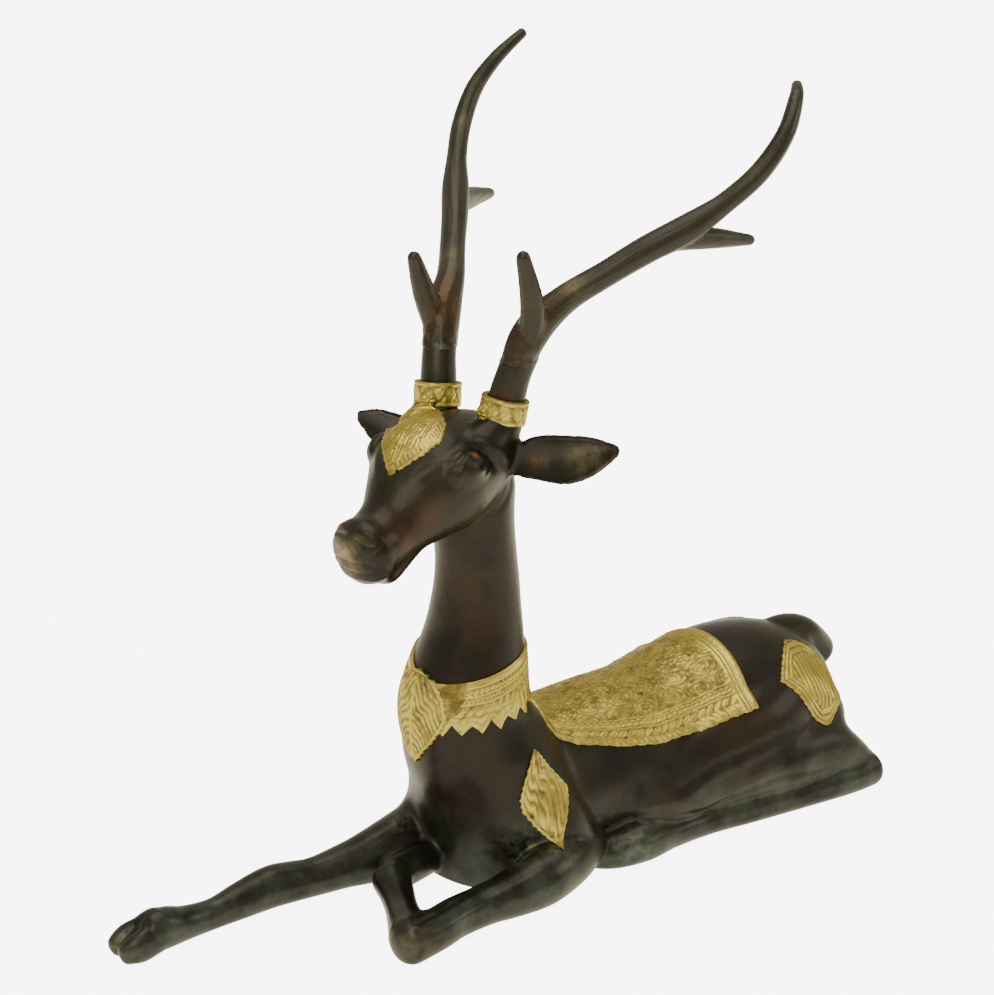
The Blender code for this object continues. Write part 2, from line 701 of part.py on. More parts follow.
def main():
    for obj in list(bpy.data.objects):
        bpy.data.objects.remove(obj)
    parts = collection_for("bronze_stag")
    material = bronze()
    pieces = [
        make_deer(parts, material),
        make_antler("antler_left", LEFT, parts, material),
        make_antler("antler_right", RIGHT, parts, material),
    ]
    centre_on_ground(pieces)


main()
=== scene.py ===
# %% [markdown]
# A recumbent bronze stag with gilt trappings, cast in three pieces: the deer, and two antlers that
# sit on its head. The CAD part holds the outline and the masses. This script makes the fine skin,
# the face and the chased gilt relief round it, in the same place and at the same size.
# The stag faces -X and its left side faces -Y.

import math

import bmesh
import bpy
import numpy as np
from mathutils import Matrix, Vector
from mathutils.bvhtree import BVHTree


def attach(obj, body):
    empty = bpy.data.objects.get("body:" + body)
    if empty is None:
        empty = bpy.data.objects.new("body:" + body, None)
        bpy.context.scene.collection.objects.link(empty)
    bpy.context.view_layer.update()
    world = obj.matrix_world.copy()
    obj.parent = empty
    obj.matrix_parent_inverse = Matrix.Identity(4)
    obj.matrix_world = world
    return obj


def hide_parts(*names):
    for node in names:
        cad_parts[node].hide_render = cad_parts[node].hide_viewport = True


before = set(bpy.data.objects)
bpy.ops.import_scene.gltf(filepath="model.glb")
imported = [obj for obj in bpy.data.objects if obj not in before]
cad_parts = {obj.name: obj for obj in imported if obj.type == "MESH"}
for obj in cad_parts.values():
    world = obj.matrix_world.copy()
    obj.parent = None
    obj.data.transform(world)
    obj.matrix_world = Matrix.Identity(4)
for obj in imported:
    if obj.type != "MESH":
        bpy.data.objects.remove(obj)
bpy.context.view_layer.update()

# %% [markdown]
# Places on the figure are written in units of about a millimetre, counted from the middle of the
# shoulders. The head has its own directions, because it looks a little to its left. Named sizes
# first, so that every later cell says what it makes and not only how big a number is.

# %% Sizes and directions
UNIT = 0.001
FIGURE_SHIFT = Vector((0.04858, -0.02821, 0))  # from the middle of the shoulders to the CAD's origin
HEAD_YAW = math.radians(15)
HEAD_ORIGIN = Vector((-90, 0, 0))
HEAD_FORWARD = Vector((-math.cos(HEAD_YAW), -math.sin(HEAD_YAW), 0))
HEAD_LEFT = Vector((math.sin(HEAD_YAW), -math.cos(HEAD_YAW), 0))
ACROSS, ALONG, UP = Vector((0, 1, 0)), Vector((1, 0, 0)), Vector((0, 0, 1))
LEFT, RIGHT = 1, -1
SEAT_HEIGHT = 263


def head_point(forward, left, height):
    return HEAD_ORIGIN + HEAD_FORWARD * forward + HEAD_LEFT * left + UP * height


def mirrored(rows, sign):
    """Rows of (x, y, ...) with every y times a sign."""
    return [(x, y * sign, *rest) for x, y, *rest in rows]


print("head looks", round(math.degrees(HEAD_YAW)), "degrees to its left")

# %% [markdown]
# A limb is a loft: rings along a line, bridged into a skin and closed at both ends. Blender can
# bridge loops of edges by itself, so a ring is one create_circle and the skin one bridge_loops.
# Rings near each end shrink, which rounds the end off like a thumb.

# %% A loft through stations
def between(stations, steps):
    """Stations joined by a smooth curve through all of them."""
    table = np.array(stations, float)
    a, b, c, d = (table[np.clip(np.arange(len(table) - 1) + k, 0, len(table) - 1)] for k in (-1, 0, 1, 2))
    t = (np.arange(steps) / steps)[None, :, None]
    a, b, c, d = (row[:, None, :] for row in (a, b, c, d))
    bend, twist = 2 * a - 5 * b + 4 * c - d, 3 * b - a - 3 * c + d
    curve = 0.5 * (2 * b + (c - a) * t + bend * t**2 + twist * t**3)
    return np.vstack([curve.reshape(-1, table.shape[1]), table[-1:]])


CAP_RINGS = (78, 62, 44, 22)  # degrees towards the pole at which a rounded end has rings


def loft(bm, stations, radius, side=ACROSS, steps=6, sides=32, caps=(0.6, 0.6), cup=0.0):
    """A closed body through stations of (x, y, z, width share, height share) of radius, in units."""
    rows = between(stations, steps)
    centres = [Vector(row[:3]) for row in rows]
    last = len(rows) - 1
    tangents = [(centres[min(i + 1, last)] - centres[max(i - 1, 0)]).normalized() for i in range(len(rows))]
    rings = [(c, t, row[3] * radius, row[4] * radius) for c, t, row in zip(centres, tangents, rows)]
    for end, share, sign in ((0, caps[0], -1), (-1, caps[1], 1)):
        centre, tangent, width, height = rings[end]
        bulge = share * min(width, height) * sign
        extra = []
        for degrees in CAP_RINGS:
            a = math.radians(degrees)
            spot = centre + tangent * bulge * math.sin(a)
            extra.append((spot, tangent, width * math.cos(a), height * math.cos(a)))
        rings = extra + rings if end == 0 else rings + extra[::-1]
    loops = []
    for centre, tangent, width, height in rings:
        across = (side - tangent * side.dot(tangent)).normalized()
        normal = tangent.cross(across)
        ring = bmesh.ops.create_circle(bm, segments=sides, radius=1, cap_ends=False)["verts"]
        for vert in ring:
            c, s = vert.co.x, vert.co.y
            out = normal * (height * s + cup * width / radius * c * c)
            vert.co = (centre + across * width * c + out) * UNIT
        loops.append(list({edge for vert in ring for edge in vert.link_edges}))
    for a, b in zip(loops, loops[1:]):
        bmesh.ops.bridge_loops(bm, edges=a + b)
    bmesh.ops.holes_fill(bm, edges=loops[0] + loops[-1], sides=0)


def head_loft(bm, stations, radius, side=HEAD_LEFT, **options):
    loft(bm, [(*head_point(f, l, z), w, h) for f, l, z, w, h in stations], radius, side, **options)


def ball(bm, centre, radius, shares, turn=0.0, segments=32):
    place = Matrix.Translation(centre * UNIT) @ Matrix.Rotation(turn, 4, "Z")
    size = Matrix.Diagonal(Vector(shares) * radius * UNIT).to_4x4()
    return bmesh.ops.create_uvsphere(
        bm, u_segments=segments, v_segments=segments * 5 // 8, radius=1, matrix=place @ size
    )["verts"]


print("a rounded end has", len(CAP_RINGS), "rings")

# %% [markdown]
# The masses of the animal come first: neck and barrel, thighs, shins and shoulders. They are the
# same lofts as in the CAD part, so that the fine skin lies on the coarse one.

# %% Masses of the body
NECK_RADIUS, BARREL_RADIUS, THIGH_RADIUS, SHIN_RADIUS, SHOULDER_RADIUS = 20, 47, 24, 12, 18


def trunk(bm):
    neck = [
        (-59, 0, -6, 2.17, 1.95), (-60, 0, 12, 2.26, 2.03), (-63, 0, 30, 2.28, 1.98),
        (-68, 0, 52, 2.15, 1.85), (-75, 0, 68, 1.95, 1.73), (-79, 0, 82, 1.7, 1.6),
        (-79, 0, 96, 1.55, 1.53), (-76, 0, 112, 1.35, 1.38), (-74, 0, 125, 1.21, 1.25),
        (-73, 0, 138, 1.09, 1.15), (-72.3, 0, 150, 1.02, 1.08), (-72.8, 0, 166, 0.98, 1.01),
        (-74.5, 0, 184, 1, 1.02), (-74, 0, 203, 1.07, 1),
    ]
    loft(bm, neck, NECK_RADIUS)
    barrel = [
        (-72, 0, 34, 0.77, 0.77), (-45, 0, 32, 0.89, 0.89), (-20, 0, 30.5, 0.94, 0.92),
        (10, 0, 31, 0.98, 0.94), (40, 0, 33, 1, 0.888), (70, 0, 36.3, 1, 0.965),
        (95, 0, 38, 1, 0.979), (115, 0, 34, 0.97, 0.957), (129, 0, 26, 0.93, 0.855),
        (137, 0, 23, 0.85, 0.7),
    ]
    loft(bm, barrel, BARREL_RADIUS, caps=(0.5, 0.3))


def hind_quarter(bm, hand):
    thigh = [
        (128, 35, 30.5, 0.76, 0.84), (108, 28, 42.5, 0.92, 1.15), (85, 33.5, 36, 0.97, 1.3),
        (45, 37, 31, 0.8, 1.13), (10, 38, 24, 0.58, 0.75),
    ]
    shin = [
        (-2, 41, 24, 0.92, 1), (45, 47, 25, 0.95, 1.08), (95, 51.5, 25, 1.02, 1.33),
        (122, 50, 22, 1.17, 1.38), (143, 56, 9.5, 0.83, 0.79),
    ]
    for stations, radius in ((thigh, THIGH_RADIUS), (shin, SHIN_RADIUS)):
        loft(bm, mirrored(stations, -hand), radius)


def shoulders(bm):
    left = [(-62, -22, 52, 1.11, 1.22), (-54, -36, 32, 0.94, 1), (-46, -42, 17, 0.78, 0.83)]
    right = [(-62, 22, 46, 1, 1.11), (-84, 20, 24, 0.83, 0.93), (-106, 15, 13.5, 0.72, 0.8)]
    for stations in (left, right):
        loft(bm, stations, SHOULDER_RADIUS)


print("neck and barrel", 2 * NECK_RADIUS, "and", 2 * BARREL_RADIUS, "mm across")

# %% [markdown]
# Then the limbs that keep a crisper form: the folded and the stretched foreleg, the cannons that
# lie along the belly, and the tail.

# %% Limbs and tail
LEG_RADIUS, CANNON_RADIUS, TOE_RADIUS, TAIL_RADIUS = 10, 8.8, 6.6, 11
FOLDED_FOREARM = [
    (-34, -38, 14, 1.2, 1.3), (-52, -47.9, 14, 1.36, 1.4), (-74, -54.5, 12.5, 1.4, 1.38),
    (-92, -55.6, 11, 1.21, 1.18), (-108, -54.7, 9.8, 1.03, 1.01), (-127, -56, 9.6, 1, 1),
    (-140, -59, 9.4, 1.06, 1.02), (-157, -59.4, 9.2, 1.22, 1.2),
]
STRETCHED_LEG = [
    (-92, 18, 15.6, 1.55, 1.66), (-112, 15.3, 13.8, 1.42, 1.5), (-128, 15, 11.8, 1.29, 1.32),
    (-141, 17, 10.3, 1.1, 1.12), (-158, 18.8, 9, 0.96, 0.97), (-170, 20.8, 9.3, 1, 1.02),
    (-181, 22, 9.6, 1.03, 1.05), (-198, 21.3, 8.3, 0.9, 0.92), (-214, 20.3, 7, 0.75, 0.76),
    (-230, 19.6, 7.8, 0.82, 0.85), (-241, 18.3, 9.8, 0.98, 1.02), (-250, 18, 10.5, 1.02, 1.02),
]
HIND_CANNON = [
    (144.5, 57.8, 8.7, 1.12, 1.12), (127, 58.4, 8, 1.06, 1.02), (98, 55, 7.5, 1.02, 1),
    (67, 51.9, 7.5, 1, 0.97), (38, 48.5, 7.5, 0.97, 0.94), (12, 48.6, 8.5, 1.08, 1.02),
    (-6, 49.9, 9.5, 1.25, 1.2), (-22, 45, 7, 1.14, 1.08), (-30, 39.8, 5, 0.91, 0.8),
]


def hind_cannon(bm, hand):
    loft(bm, mirrored(HIND_CANNON, -hand), CANNON_RADIUS)


def folded_foreleg(bm):
    cannon = [
        (-154, -58, 10.5, 1.05, 1.05), (-144.8, -38, 11, 0.82, 0.8), (-138, -24, 11.5, 0.86, 0.82),
        (-133, -12, 13, 1, 0.95),
    ]
    hoof = [(-131, -9, 13, 0.9, 0.95), (-116, -5, 12, 0.85, 0.9), (-100, 0, 11, 0.8, 0.9)]
    loft(bm, FOLDED_FOREARM, LEG_RADIUS)
    loft(bm, cannon, LEG_RADIUS, side=ALONG)
    loft(bm, hoof, LEG_RADIUS)


def stretched_foreleg(bm):
    loft(bm, STRETCHED_LEG, LEG_RADIUS)
    for toe in (-1, 1):
        half_hoof = [
            (-247, 18.5 + 4 * toe, 9, 0.8, 1.3), (-258, 18.8 + 5.4 * toe, 7, 0.88, 1.22),
            (-265, 20 + 4.6 * toe, 4.5, 0.62, 0.85),
        ]
        loft(bm, half_hoof, TOE_RADIUS)


def tail(bm):
    stations = [
        (108, 0, 66, 0.82, 0.73), (130, 2, 69.3, 1, 0.88), (148, 3, 64.8, 1.02, 0.95),
        (162.5, 4, 51.6, 1.02, 0.95),
    ]
    loft(bm, stations, TAIL_RADIUS)


print("stations of the stretched foreleg", len(STRETCHED_LEG), "and of a hind cannon", len(HIND_CANNON))

# %% [markdown]
# The head is a skull and a jaw with bulges for the eyes and the roots of the ears. Ears and antlers
# are lofts too. Their stations are kept, because the rims of the ears and the ridges of the antlers
# follow them.

# %% Head, ears and antlers
SKULL = [
    (-31, 0, 208, 0.6, 0.62), (-22, 0, 210, 0.76, 0.78), (-8, 0, 211.5, 0.9, 0.86),
    (8, 0, 210, 1, 0.91), (18, 0, 206, 0.97, 0.88), (29, 0, 200, 0.76, 0.74),
    (40, 0, 194, 0.57, 0.57), (51, 0, 189.5, 0.53, 0.52), (60, 0, 187.4, 0.56, 0.56),
]
JAW = [(-22, 0, 199, 1.48, 1.13), (0, 0, 194.5, 1.65, 1), (25, 0, 190, 1.2, 0.83), (51, 0, 177, 1.1, 0.86)]
EAR_LEAF = [
    (-16.6, 14, 216, 0.57, 0.4), (-20.6, 28, 217, 0.74, 0.33), (-24, 40, 219.5, 0.98, 0.25),
    (-26, 54, 221.5, 1.02, 0.23), (-26.7, 68, 226.2, 0.76, 0.2), (-24.8, 79.5, 230.6, 0.23, 0.16),
]
EAR_RADIUS, EAR_CUP = 11.5, 5.5
EAR_REACH, EAR_DROOP = {LEFT: 1.02, RIGHT: 0.95}, {LEFT: 0, RIGHT: 0.185}
COLLAR_FOOT, COLLAR_TOP, COLLAR_RADIUS = Vector((-17.4, 19.4, 234.2)), Vector((-19.6, 20.4, 245.4)), 11.2
SKULL_RADIUS, JAW_RADIUS, BULGE_RADIUS, BEAM_RADIUS, TINE_RADIUS = 30, 11.5, 13, 6.4, 5.2


def head(bm):
    head_loft(bm, SKULL, SKULL_RADIUS)
    head_loft(bm, JAW, JAW_RADIUS)
    for hand in (LEFT, RIGHT):
        ball(bm, head_point(14, 22.5 * hand, 219.5), BULGE_RADIUS, (1, 0.68, 0.72), HEAD_YAW)
        ball(bm, head_point(-22, 20 * hand, 217), BULGE_RADIUS, (0.62, 0.62, 0.62))
        root = [(-6, 18, 222, 1.25, 1.4), (-15, 19.3, 231, 0.98, 1), (-19.5, 20, 239, 0.87, 0.87)]
        head_loft(bm, mirrored(root, hand), COLLAR_RADIUS, caps=(0.3, 0.1))


def ear_stations(hand):
    reach, droop = EAR_REACH[hand], EAR_DROOP[hand]
    return [(f, l * reach * hand, z - droop * l, w, h) for f, l, z, w, h in EAR_LEAF]


def ear(bm, hand):
    head_loft(bm, ear_stations(hand), EAR_RADIUS, side=UP, cup=EAR_CUP * hand, steps=3, sides=40)


def beam_stations(hand, first=0, last=None):
    beam = [
        (-16.5, 19, 230, 1.25), (-19.6, 20.4, 244, 1.38), (-23.6, 23, 258.8, 1.3),
        (-31, 26.7, 276, 1.38), (-46, 33.8, 289.3, 1.09), (-62, 45.4, 300, 0.99),
        (-77.5, 56.6, 310, 1.05), (-93, 68.6, 319, 1.08), (-108, 79.7, 330.3, 0.81),
        (-123, 88.6, 343.6, 0.79), (-138, 92.3, 359.3, 0.71), (-152, 89, 373.4, 0.58),
        (-162.5, 83, 378, 0.42) if hand == LEFT else (-168, 84, 385, 0.42),
    ]
    spread = 1.02 if hand == LEFT else 1  # the left beam reaches a little further out
    spread_above = SEAT_HEIGHT + 20
    return [(f, l * (spread if z > spread_above else 1) * hand, z, w, w) for f, l, z, w in beam[first:last]]


def tine_stations(hand):
    if hand == LEFT:
        brow = [(-28.2, 26.2, 267, 1.1), (-25.6, 31.2, 288, 1.12), (-18.4, 31.3, 313.8, 0.66)]
        rear = [(-90, 66, 315, 1.25), (-112, 74, 311.5, 0.96), (-132.5, 79.7, 307.5, 0.54)]
    else:
        brow = [(-27.6, 26, 265, 1.15), (-21.6, 29.8, 286, 1.1), (-14.4, 30, 304.8, 0.66)]
        rear = [(-90, 66, 313, 1.35), (-112, 74, 310, 1.05), (-133.5, 79, 307.4, 0.56)]
    return [[(f, l * hand, z, w, w) for f, l, z, w in tine] for tine in (brow, rear)]


def antler_stub(bm, hand):
    head_loft(bm, beam_stations(hand, 0, 4), BEAM_RADIUS, sides=24)


print("stations of an ear", len(EAR_LEAF), "and of a beam", len(beam_stations(LEFT)))

# %% [markdown]
# Lofts that only overlap would show a crease at every joint. A voxel remesh grows them together
# into one skin, and a few rounds of smoothing round the joints as wax would. It is done twice, as
# in the CAD: large masses with much smoothing, then limbs and head with little. Bubbles that the
# remesh leaves inside are dropped.

# %% Grow lofts into one skin
def opened(mesh):
    bm = bmesh.new()
    bm.from_mesh(mesh)
    bm.verts.ensure_lookup_table()
    return bm


def put_back(bm, mesh):
    bm.to_mesh(mesh)
    bm.free()
    return mesh


def in_scene(name, data):
    made = bpy.data.objects.new(name, data)
    bpy.context.scene.collection.objects.link(made)
    return made


def mesh_from(name, makers, start=None):
    bm = bmesh.new()
    for make in makers:
        make(bm)
    bmesh.ops.recalc_face_normals(bm, faces=bm.faces)
    if start:
        bm.from_mesh(start)
    return put_back(bm, bpy.data.meshes.new(name))


def outer_skin(mesh):
    """Keep only the largest closed shell of a mesh."""
    edges = np.empty(len(mesh.edges) * 2, np.int64)
    mesh.edges.foreach_get("vertices", edges)
    edges = edges.reshape(-1, 2)
    label = np.arange(len(mesh.vertices))
    while True:
        low = np.minimum(label[edges[:, 0]], label[edges[:, 1]])
        before = label.copy()
        np.minimum.at(label, edges[:, 0], low)
        np.minimum.at(label, edges[:, 1], low)
        label = label[label]
        if (label == before).all():
            break
    largest = np.bincount(label).argmax()
    if (label != largest).any():
        bm = opened(mesh)
        bubbles = [bm.verts[int(i)] for i in np.flatnonzero(label != largest)]
        bmesh.ops.delete(bm, geom=bubbles, context="VERTS")
        put_back(bm, mesh)
    return mesh


def grown(name, makers, voxel, smoothing, start=None):
    """One smooth skin round the lofts, with cells of about this many units."""
    mould = in_scene(name, mesh_from(name, makers, start))
    grow = mould.modifiers.new("grow together", "REMESH")
    grow.mode = "VOXEL"
    grow.voxel_size = voxel * UNIT
    soften = mould.modifiers.new("smooth", "SMOOTH")
    soften.factor = 0.5
    soften.iterations = smoothing
    bpy.context.view_layer.update()
    made = bpy.data.meshes.new_from_object(mould.evaluated_get(bpy.context.evaluated_depsgraph_get()))
    bpy.data.objects.remove(mould)
    return outer_skin(made)


def smooth(bm, verts, rounds):
    for _ in range(rounds):
        bmesh.ops.smooth_vert(bm, verts=verts, factor=0.5, use_axis_x=True, use_axis_y=True, use_axis_z=True)


def tree_of(mesh):
    bm = opened(mesh)
    tree = BVHTree.FromBMesh(bm)
    bm.free()
    return tree


def both(*makers):
    """The same makers for the left and for the right."""
    return [lambda bm, make=make, hand=hand: make(bm, hand) for hand in (LEFT, RIGHT) for make in makers]


flesh = grown("flesh", [trunk, shoulders] + both(hind_quarter), voxel=2.4, smoothing=16)
limbs = [folded_foreleg, stretched_foreleg, tail, head] + both(hind_cannon, antler_stub)
body_skin = grown("body_skin", limbs, voxel=1.4, smoothing=8, start=flesh)
head_skin = grown("head_skin", limbs + both(ear), voxel=0.85, smoothing=21, start=flesh)
print("skins", len(body_skin.vertices), len(head_skin.vertices))

# %% [markdown]
# The body doesn't need cells as fine as the face does. So the skin is made at two finenesses, and
# each is cut by one slanted plane that the neck collar hides. The head keeps what is above it and
# the body what is below. Bisect cuts the mesh, and filling the hole closes each half.

# %% Cut the two skins
def cut(mesh, cuts):
    """Cut a mesh by planes, each a point in units and the way that is kept, and close the cuts."""
    bm = opened(mesh)
    for point, keep in cuts:
        geom = bm.verts[:] + bm.edges[:] + bm.faces[:]
        made = bmesh.ops.bisect_plane(
            bm, geom=geom, plane_co=Vector(point) * UNIT, plane_no=Vector(keep), clear_inner=True
        )["geom_cut"]
        bmesh.ops.holes_fill(bm, edges=[e for e in made if isinstance(e, bmesh.types.BMEdge)], sides=0)
    put_back(bm, mesh)


SEAM_POINT, SEAM_UP = (-78, 0, 101.5), Vector((-0.15, 0, 1)).normalized()
tree = tree_of(body_skin)
cut(body_skin, [(SEAM_POINT, -SEAM_UP), ((0, 0, 0), UP)])
cut(head_skin, [(SEAM_POINT, SEAM_UP), ((0, 0, SEAT_HEIGHT), -UP)])
print("body", len(body_skin.vertices), "head", len(head_skin.vertices))

# %% [markdown]
# The face is cut into the skin as a founder chases wax: grooves and ridges that follow a line.
# Each line is a few points near the skin. A vertex moves along its normal by an amount that falls
# off with its distance from the line, which numpy works out for every vertex at once. Temples and
# jaw are smoothed first, because the remesh leaves creases where the lofts meet there.

# %% Chase lines into a skin
def read(mesh, what):
    values = np.empty(len(mesh.vertices) * 3)
    if what == "co":
        mesh.vertices.foreach_get("co", values)
        values /= UNIT
    else:
        mesh.vertex_normals.foreach_get("vector", values)
    return values.reshape(-1, 3)


def write(mesh, points):
    mesh.vertices.foreach_set("co", (points * UNIT).ravel())
    mesh.update()


def distance_to(points, path):
    """The distance of each point from a line through path, and how far along the line it is."""
    nearest = np.full(len(points), 1e9)
    share = np.zeros(len(points))
    run = 0.0
    total = sum(np.linalg.norm(b - a) for a, b in zip(path, path[1:])) or 1.0
    for a, b in zip(path, path[1:]):
        step = b - a
        length = np.linalg.norm(step) or 1e-6
        t = np.clip(((points - a) @ step) / length**2, 0, 1)
        gap = np.linalg.norm(points - a - t[:, None] * step, axis=1)
        closer = gap < nearest
        nearest[closer] = gap[closer]
        share[closer] = (run + t[closer] * length) / total
        run += length
    return nearest, share


def chase(mesh, lines, tree, steps=6):
    """Move vertices by lines of (points, width, height, taper). A height below 0 is a groove."""
    points, normals = read(mesh, "co"), read(mesh, "normal")
    push = np.zeros(len(points))
    for path, width, height, taper in lines:
        on_skin = np.array([tree.find_nearest(Vector(p) * UNIT)[0] / UNIT for p in between(path, steps)])
        low, high = on_skin.min(0) - 3 * width, on_skin.max(0) + 3 * width
        near = np.flatnonzero(((points > low) & (points < high)).all(1))
        gap, share = distance_to(points[near], on_skin)
        fade = 1 - taper * np.abs(2 * share - 1) ** 2
        push[near] += height * fade * np.exp(-((gap / width) ** 2))
    write(mesh, points + normals * push[:, None])
    return push


def soften_near(mesh, places, rounds):
    """Smooth a mesh near places on the head, each (forward, left, height, radius), on both sides."""
    points = read(mesh, "co")
    near = np.zeros(len(points), bool)
    for f, l, z, radius in places:
        for hand in (LEFT, RIGHT):
            near |= np.linalg.norm(points - np.array(head_point(f, l * hand, z)), axis=1) < radius
    bm = opened(mesh)
    smooth(bm, [bm.verts[int(i)] for i in np.flatnonzero(near)], rounds)
    put_back(bm, mesh)


def on_head(path, hand):
    return [tuple(head_point(*spot)) for spot in mirrored(path, hand)]


face_lines = []
for hand in (LEFT, RIGHT):
    def face(path, width, height, taper=0.0, hand=hand):
        face_lines.append((on_head(path, hand), width, height, taper))

    # the brow is a flat plane with a sharp edge that ends over the eye
    face(
        [(3, 22, 228), (6.5, 22.6, 228.3), (15.7, 24.8, 227.8), (21.7, 24.8, 226.1), (25.9, 22.9, 222.5)],
        1.3, -0.85, 0.8,
    )
    brow_end = [(27, 18.5, 224.4), (33.1, 14.6, 221), (38, 10.4, 217.6)]
    face([(9.7, 21, 229.8), (17.6, 22, 228.8), (23, 20.6, 226.6)] + brow_end, 2.6, 0.6, 0.5)
    # the eye: an almond between two fine raised lids, with a duct that runs down from its corner
    front_lid = [(11.4, 23.6, 228), (19.4, 27.6, 225.6), (23, 28.1, 221.3), (24.4, 26.9, 217.6)]
    duct = [(25.3, 25.2, 212), (25.6, 25.5, 208.9)]
    rear_lid = [(-0.5, 28.3, 222.7), (2.4, 28.1, 217.6), (10.6, 30, 214.9), (20.6, 28.5, 213.8)]
    face(front_lid + duct, 1.25, 0.5, 0.6)
    face(rear_lid + [(24.8, 26.1, 210)], 1.25, 0.5, 0.6)
    face([(6, 27.5, 223), (11, 28.5, 221.5), (16, 28.5, 219.5)], 3.4, 0.35)
    # nostril: a small pit with a rolled rim, and the wing behind it
    face([(68.4, 3, 198), (67.6, 7.5, 197), (66, 11, 195.6)], 0.9, -1.3, 0.6)
    face([(66.9, 3.7, 200.5), (65, 8, 200.4), (62.5, 12.3, 197.8)], 1.3, 0.55, 0.4)
    face([(59.7, 14.5, 195.5), (63.8, 13.9, 193.3), (66.5, 12.1, 190.5)], 0.8, -0.5, 0.4)
    # two fine cuts for the mouth, and the lower lip under them
    face([(69.4, 0, 185.7), (68.7, 6.7, 185.8), (65.9, 11.9, 184.6), (60.9, 15.4, 184.5)], 0.7, -0.45, 0.4)
    face([(67.7, 0, 179.9), (67.3, 5.4, 180.2), (64, 11, 181.5), (59, 14, 184)], 0.8, -0.7, 0.3)
    face([(67, 0, 176), (66, 5, 176), (62, 10, 177.5), (57, 13, 181)], 1.6, 0.35, 0.4)
    # the soft edge of the jaw
    face([(-14, 22, 195), (0, 22, 190), (18, 17, 184), (36, 13, 178)], 2.2, -0.3, 0.6)
    face([(-21, 22, 207), (-16, 25, 199), (-8, 25, 191)], 2.2, -0.5, 0.5)
TEMPLES_AND_JAW = [
    (0, 25, 229, 16), (-10, 22, 222, 15), (-4, 26, 213, 13), (48, 6, 178, 15), (20, 8, 184, 14),
]
EYES = [(14, 25, 221, 17)]
soften_near(head_skin, TEMPLES_AND_JAW, rounds=30)
chase_push = chase(head_skin, face_lines, tree_of(head_skin))
soften_near(head_skin, EYES, rounds=1)
print("face moved by", round(float(chase_push.min()), 2), "to", round(float(chase_push.max()), 2), "mm")

# %% [markdown]
# An ear is a leaf with a rolled rim round a shallow dish. Both follow the loft that made the ear,
# so their lines are worked out from the same stations.

# %% Ear rims and dishes
ear_lines = []
for hand in (LEFT, RIGHT):
    rows = between(ear_stations(hand), 3)
    for edge in (-1, 1):
        rim = []
        for f, l, z, w, h in rows[4:]:
            rim.append(tuple(head_point(f + EAR_CUP * w * 0.86, l, z + edge * EAR_RADIUS * w * 0.93)))
        ear_lines.append((rim, 1.5, 0.7, 0.3))
    for share, depth in ((-0.4, -0.35), (0, -0.6), (0.4, -0.35)):
        dish = []
        for f, l, z, w, h in rows[3:14]:
            dish.append(tuple(head_point(f + EAR_CUP * w * share**2 + 2.4, l, z + share * EAR_RADIUS * w)))
        ear_lines.append((dish, 3.2, depth, 0.6))
chase(head_skin, ear_lines, tree_of(head_skin), steps=2)
head_tree = tree_of(head_skin)
print("ear lines", len(ear_lines))

# %% [markdown]
# The stretched hoof is cloven, and tendons and the edge of the shin show along the folded legs.
# These are the same kind of lines, on the body's skin.

# %% Hooves and tendons
leg_lines = [
    # the cleft of the stretched hoof, and the swelling over it
    ([(-252, 19, 20), (-259, 19, 15.5), (-265, 19.5, 9), (-268, 20, 3)], 1.1, -0.8, 0.2),
    ([(-243, 12, 17), (-246, 17, 20), (-246, 24, 18)], 2.4, 0.7, 0.4),
    ([(-252, 10, 12), (-253, 14, 18.5), (-254, 22, 19)], 1.1, -0.5, 0.3),
    # the tendon of the folded foreleg, and the knuckle of its knee
    ([(-153.8, -64, 19.1), (-131.9, -58.7, 19.2), (-109.1, -51.7, 19.2), (-88, -42, 18)], 1.3, -1.0, 0.4),
    ([(-150, -70, 14), (-131, -65, 14.5), (-109, -61, 15), (-84, -62, 19)], 2.0, 0.45, 0.5),
    ([(-161, -63, 18), (-157.2, -66.1, 18.5), (-152, -66.8, 17.6)], 1.0, 0.5, 0.3),
    ([(-93.6, -26.8, 21.3), (-85.6, -36.4, 25), (-77.4, -41.7, 23.5)], 1.6, -0.5, 0.6),
]
for hand in (LEFT, RIGHT):
    groove = [
        (-6.4, 55.7, 17.9), (14.4, 54.6, 15.4), (31.9, 53.8, 15.3), (42.6, 56.8, 19),
        (60.4, 59.7, 22.5), (78, 61.6, 24.5), (103.3, 63.6, 21.5), (121, 63.5, 18),
    ]
    shin_edge = [
        (-19.7, 43.4, 24.8), (-8.7, 46.5, 26.5), (3.2, 51.8, 27.3), (16.6, 53.9, 26.8),
        (36.2, 55, 34.2), (53.9, 56.4, 36.8), (76.9, 56.9, 40), (89, 56.7, 40.4),
    ]
    crease = [(x, y - 2, z + 5) for x, y, z in shin_edge[1:]]
    fetlock = [(-18, 55, 15), (-12, 58, 13.5), (-7, 58, 12)]
    for path, width, height, taper in (
        (groove, 2.3, -1.0, 0.5), (shin_edge, 3.2, 0.5, 0.5),
        (crease, 3.2, -0.35, 0.5), (fetlock, 3.2, 1.0, 0.4),
    ):
        leg_lines.append((mirrored(path, -hand), width, height, taper))
chase(body_skin, leg_lines, tree)
print("leg lines", len(leg_lines))
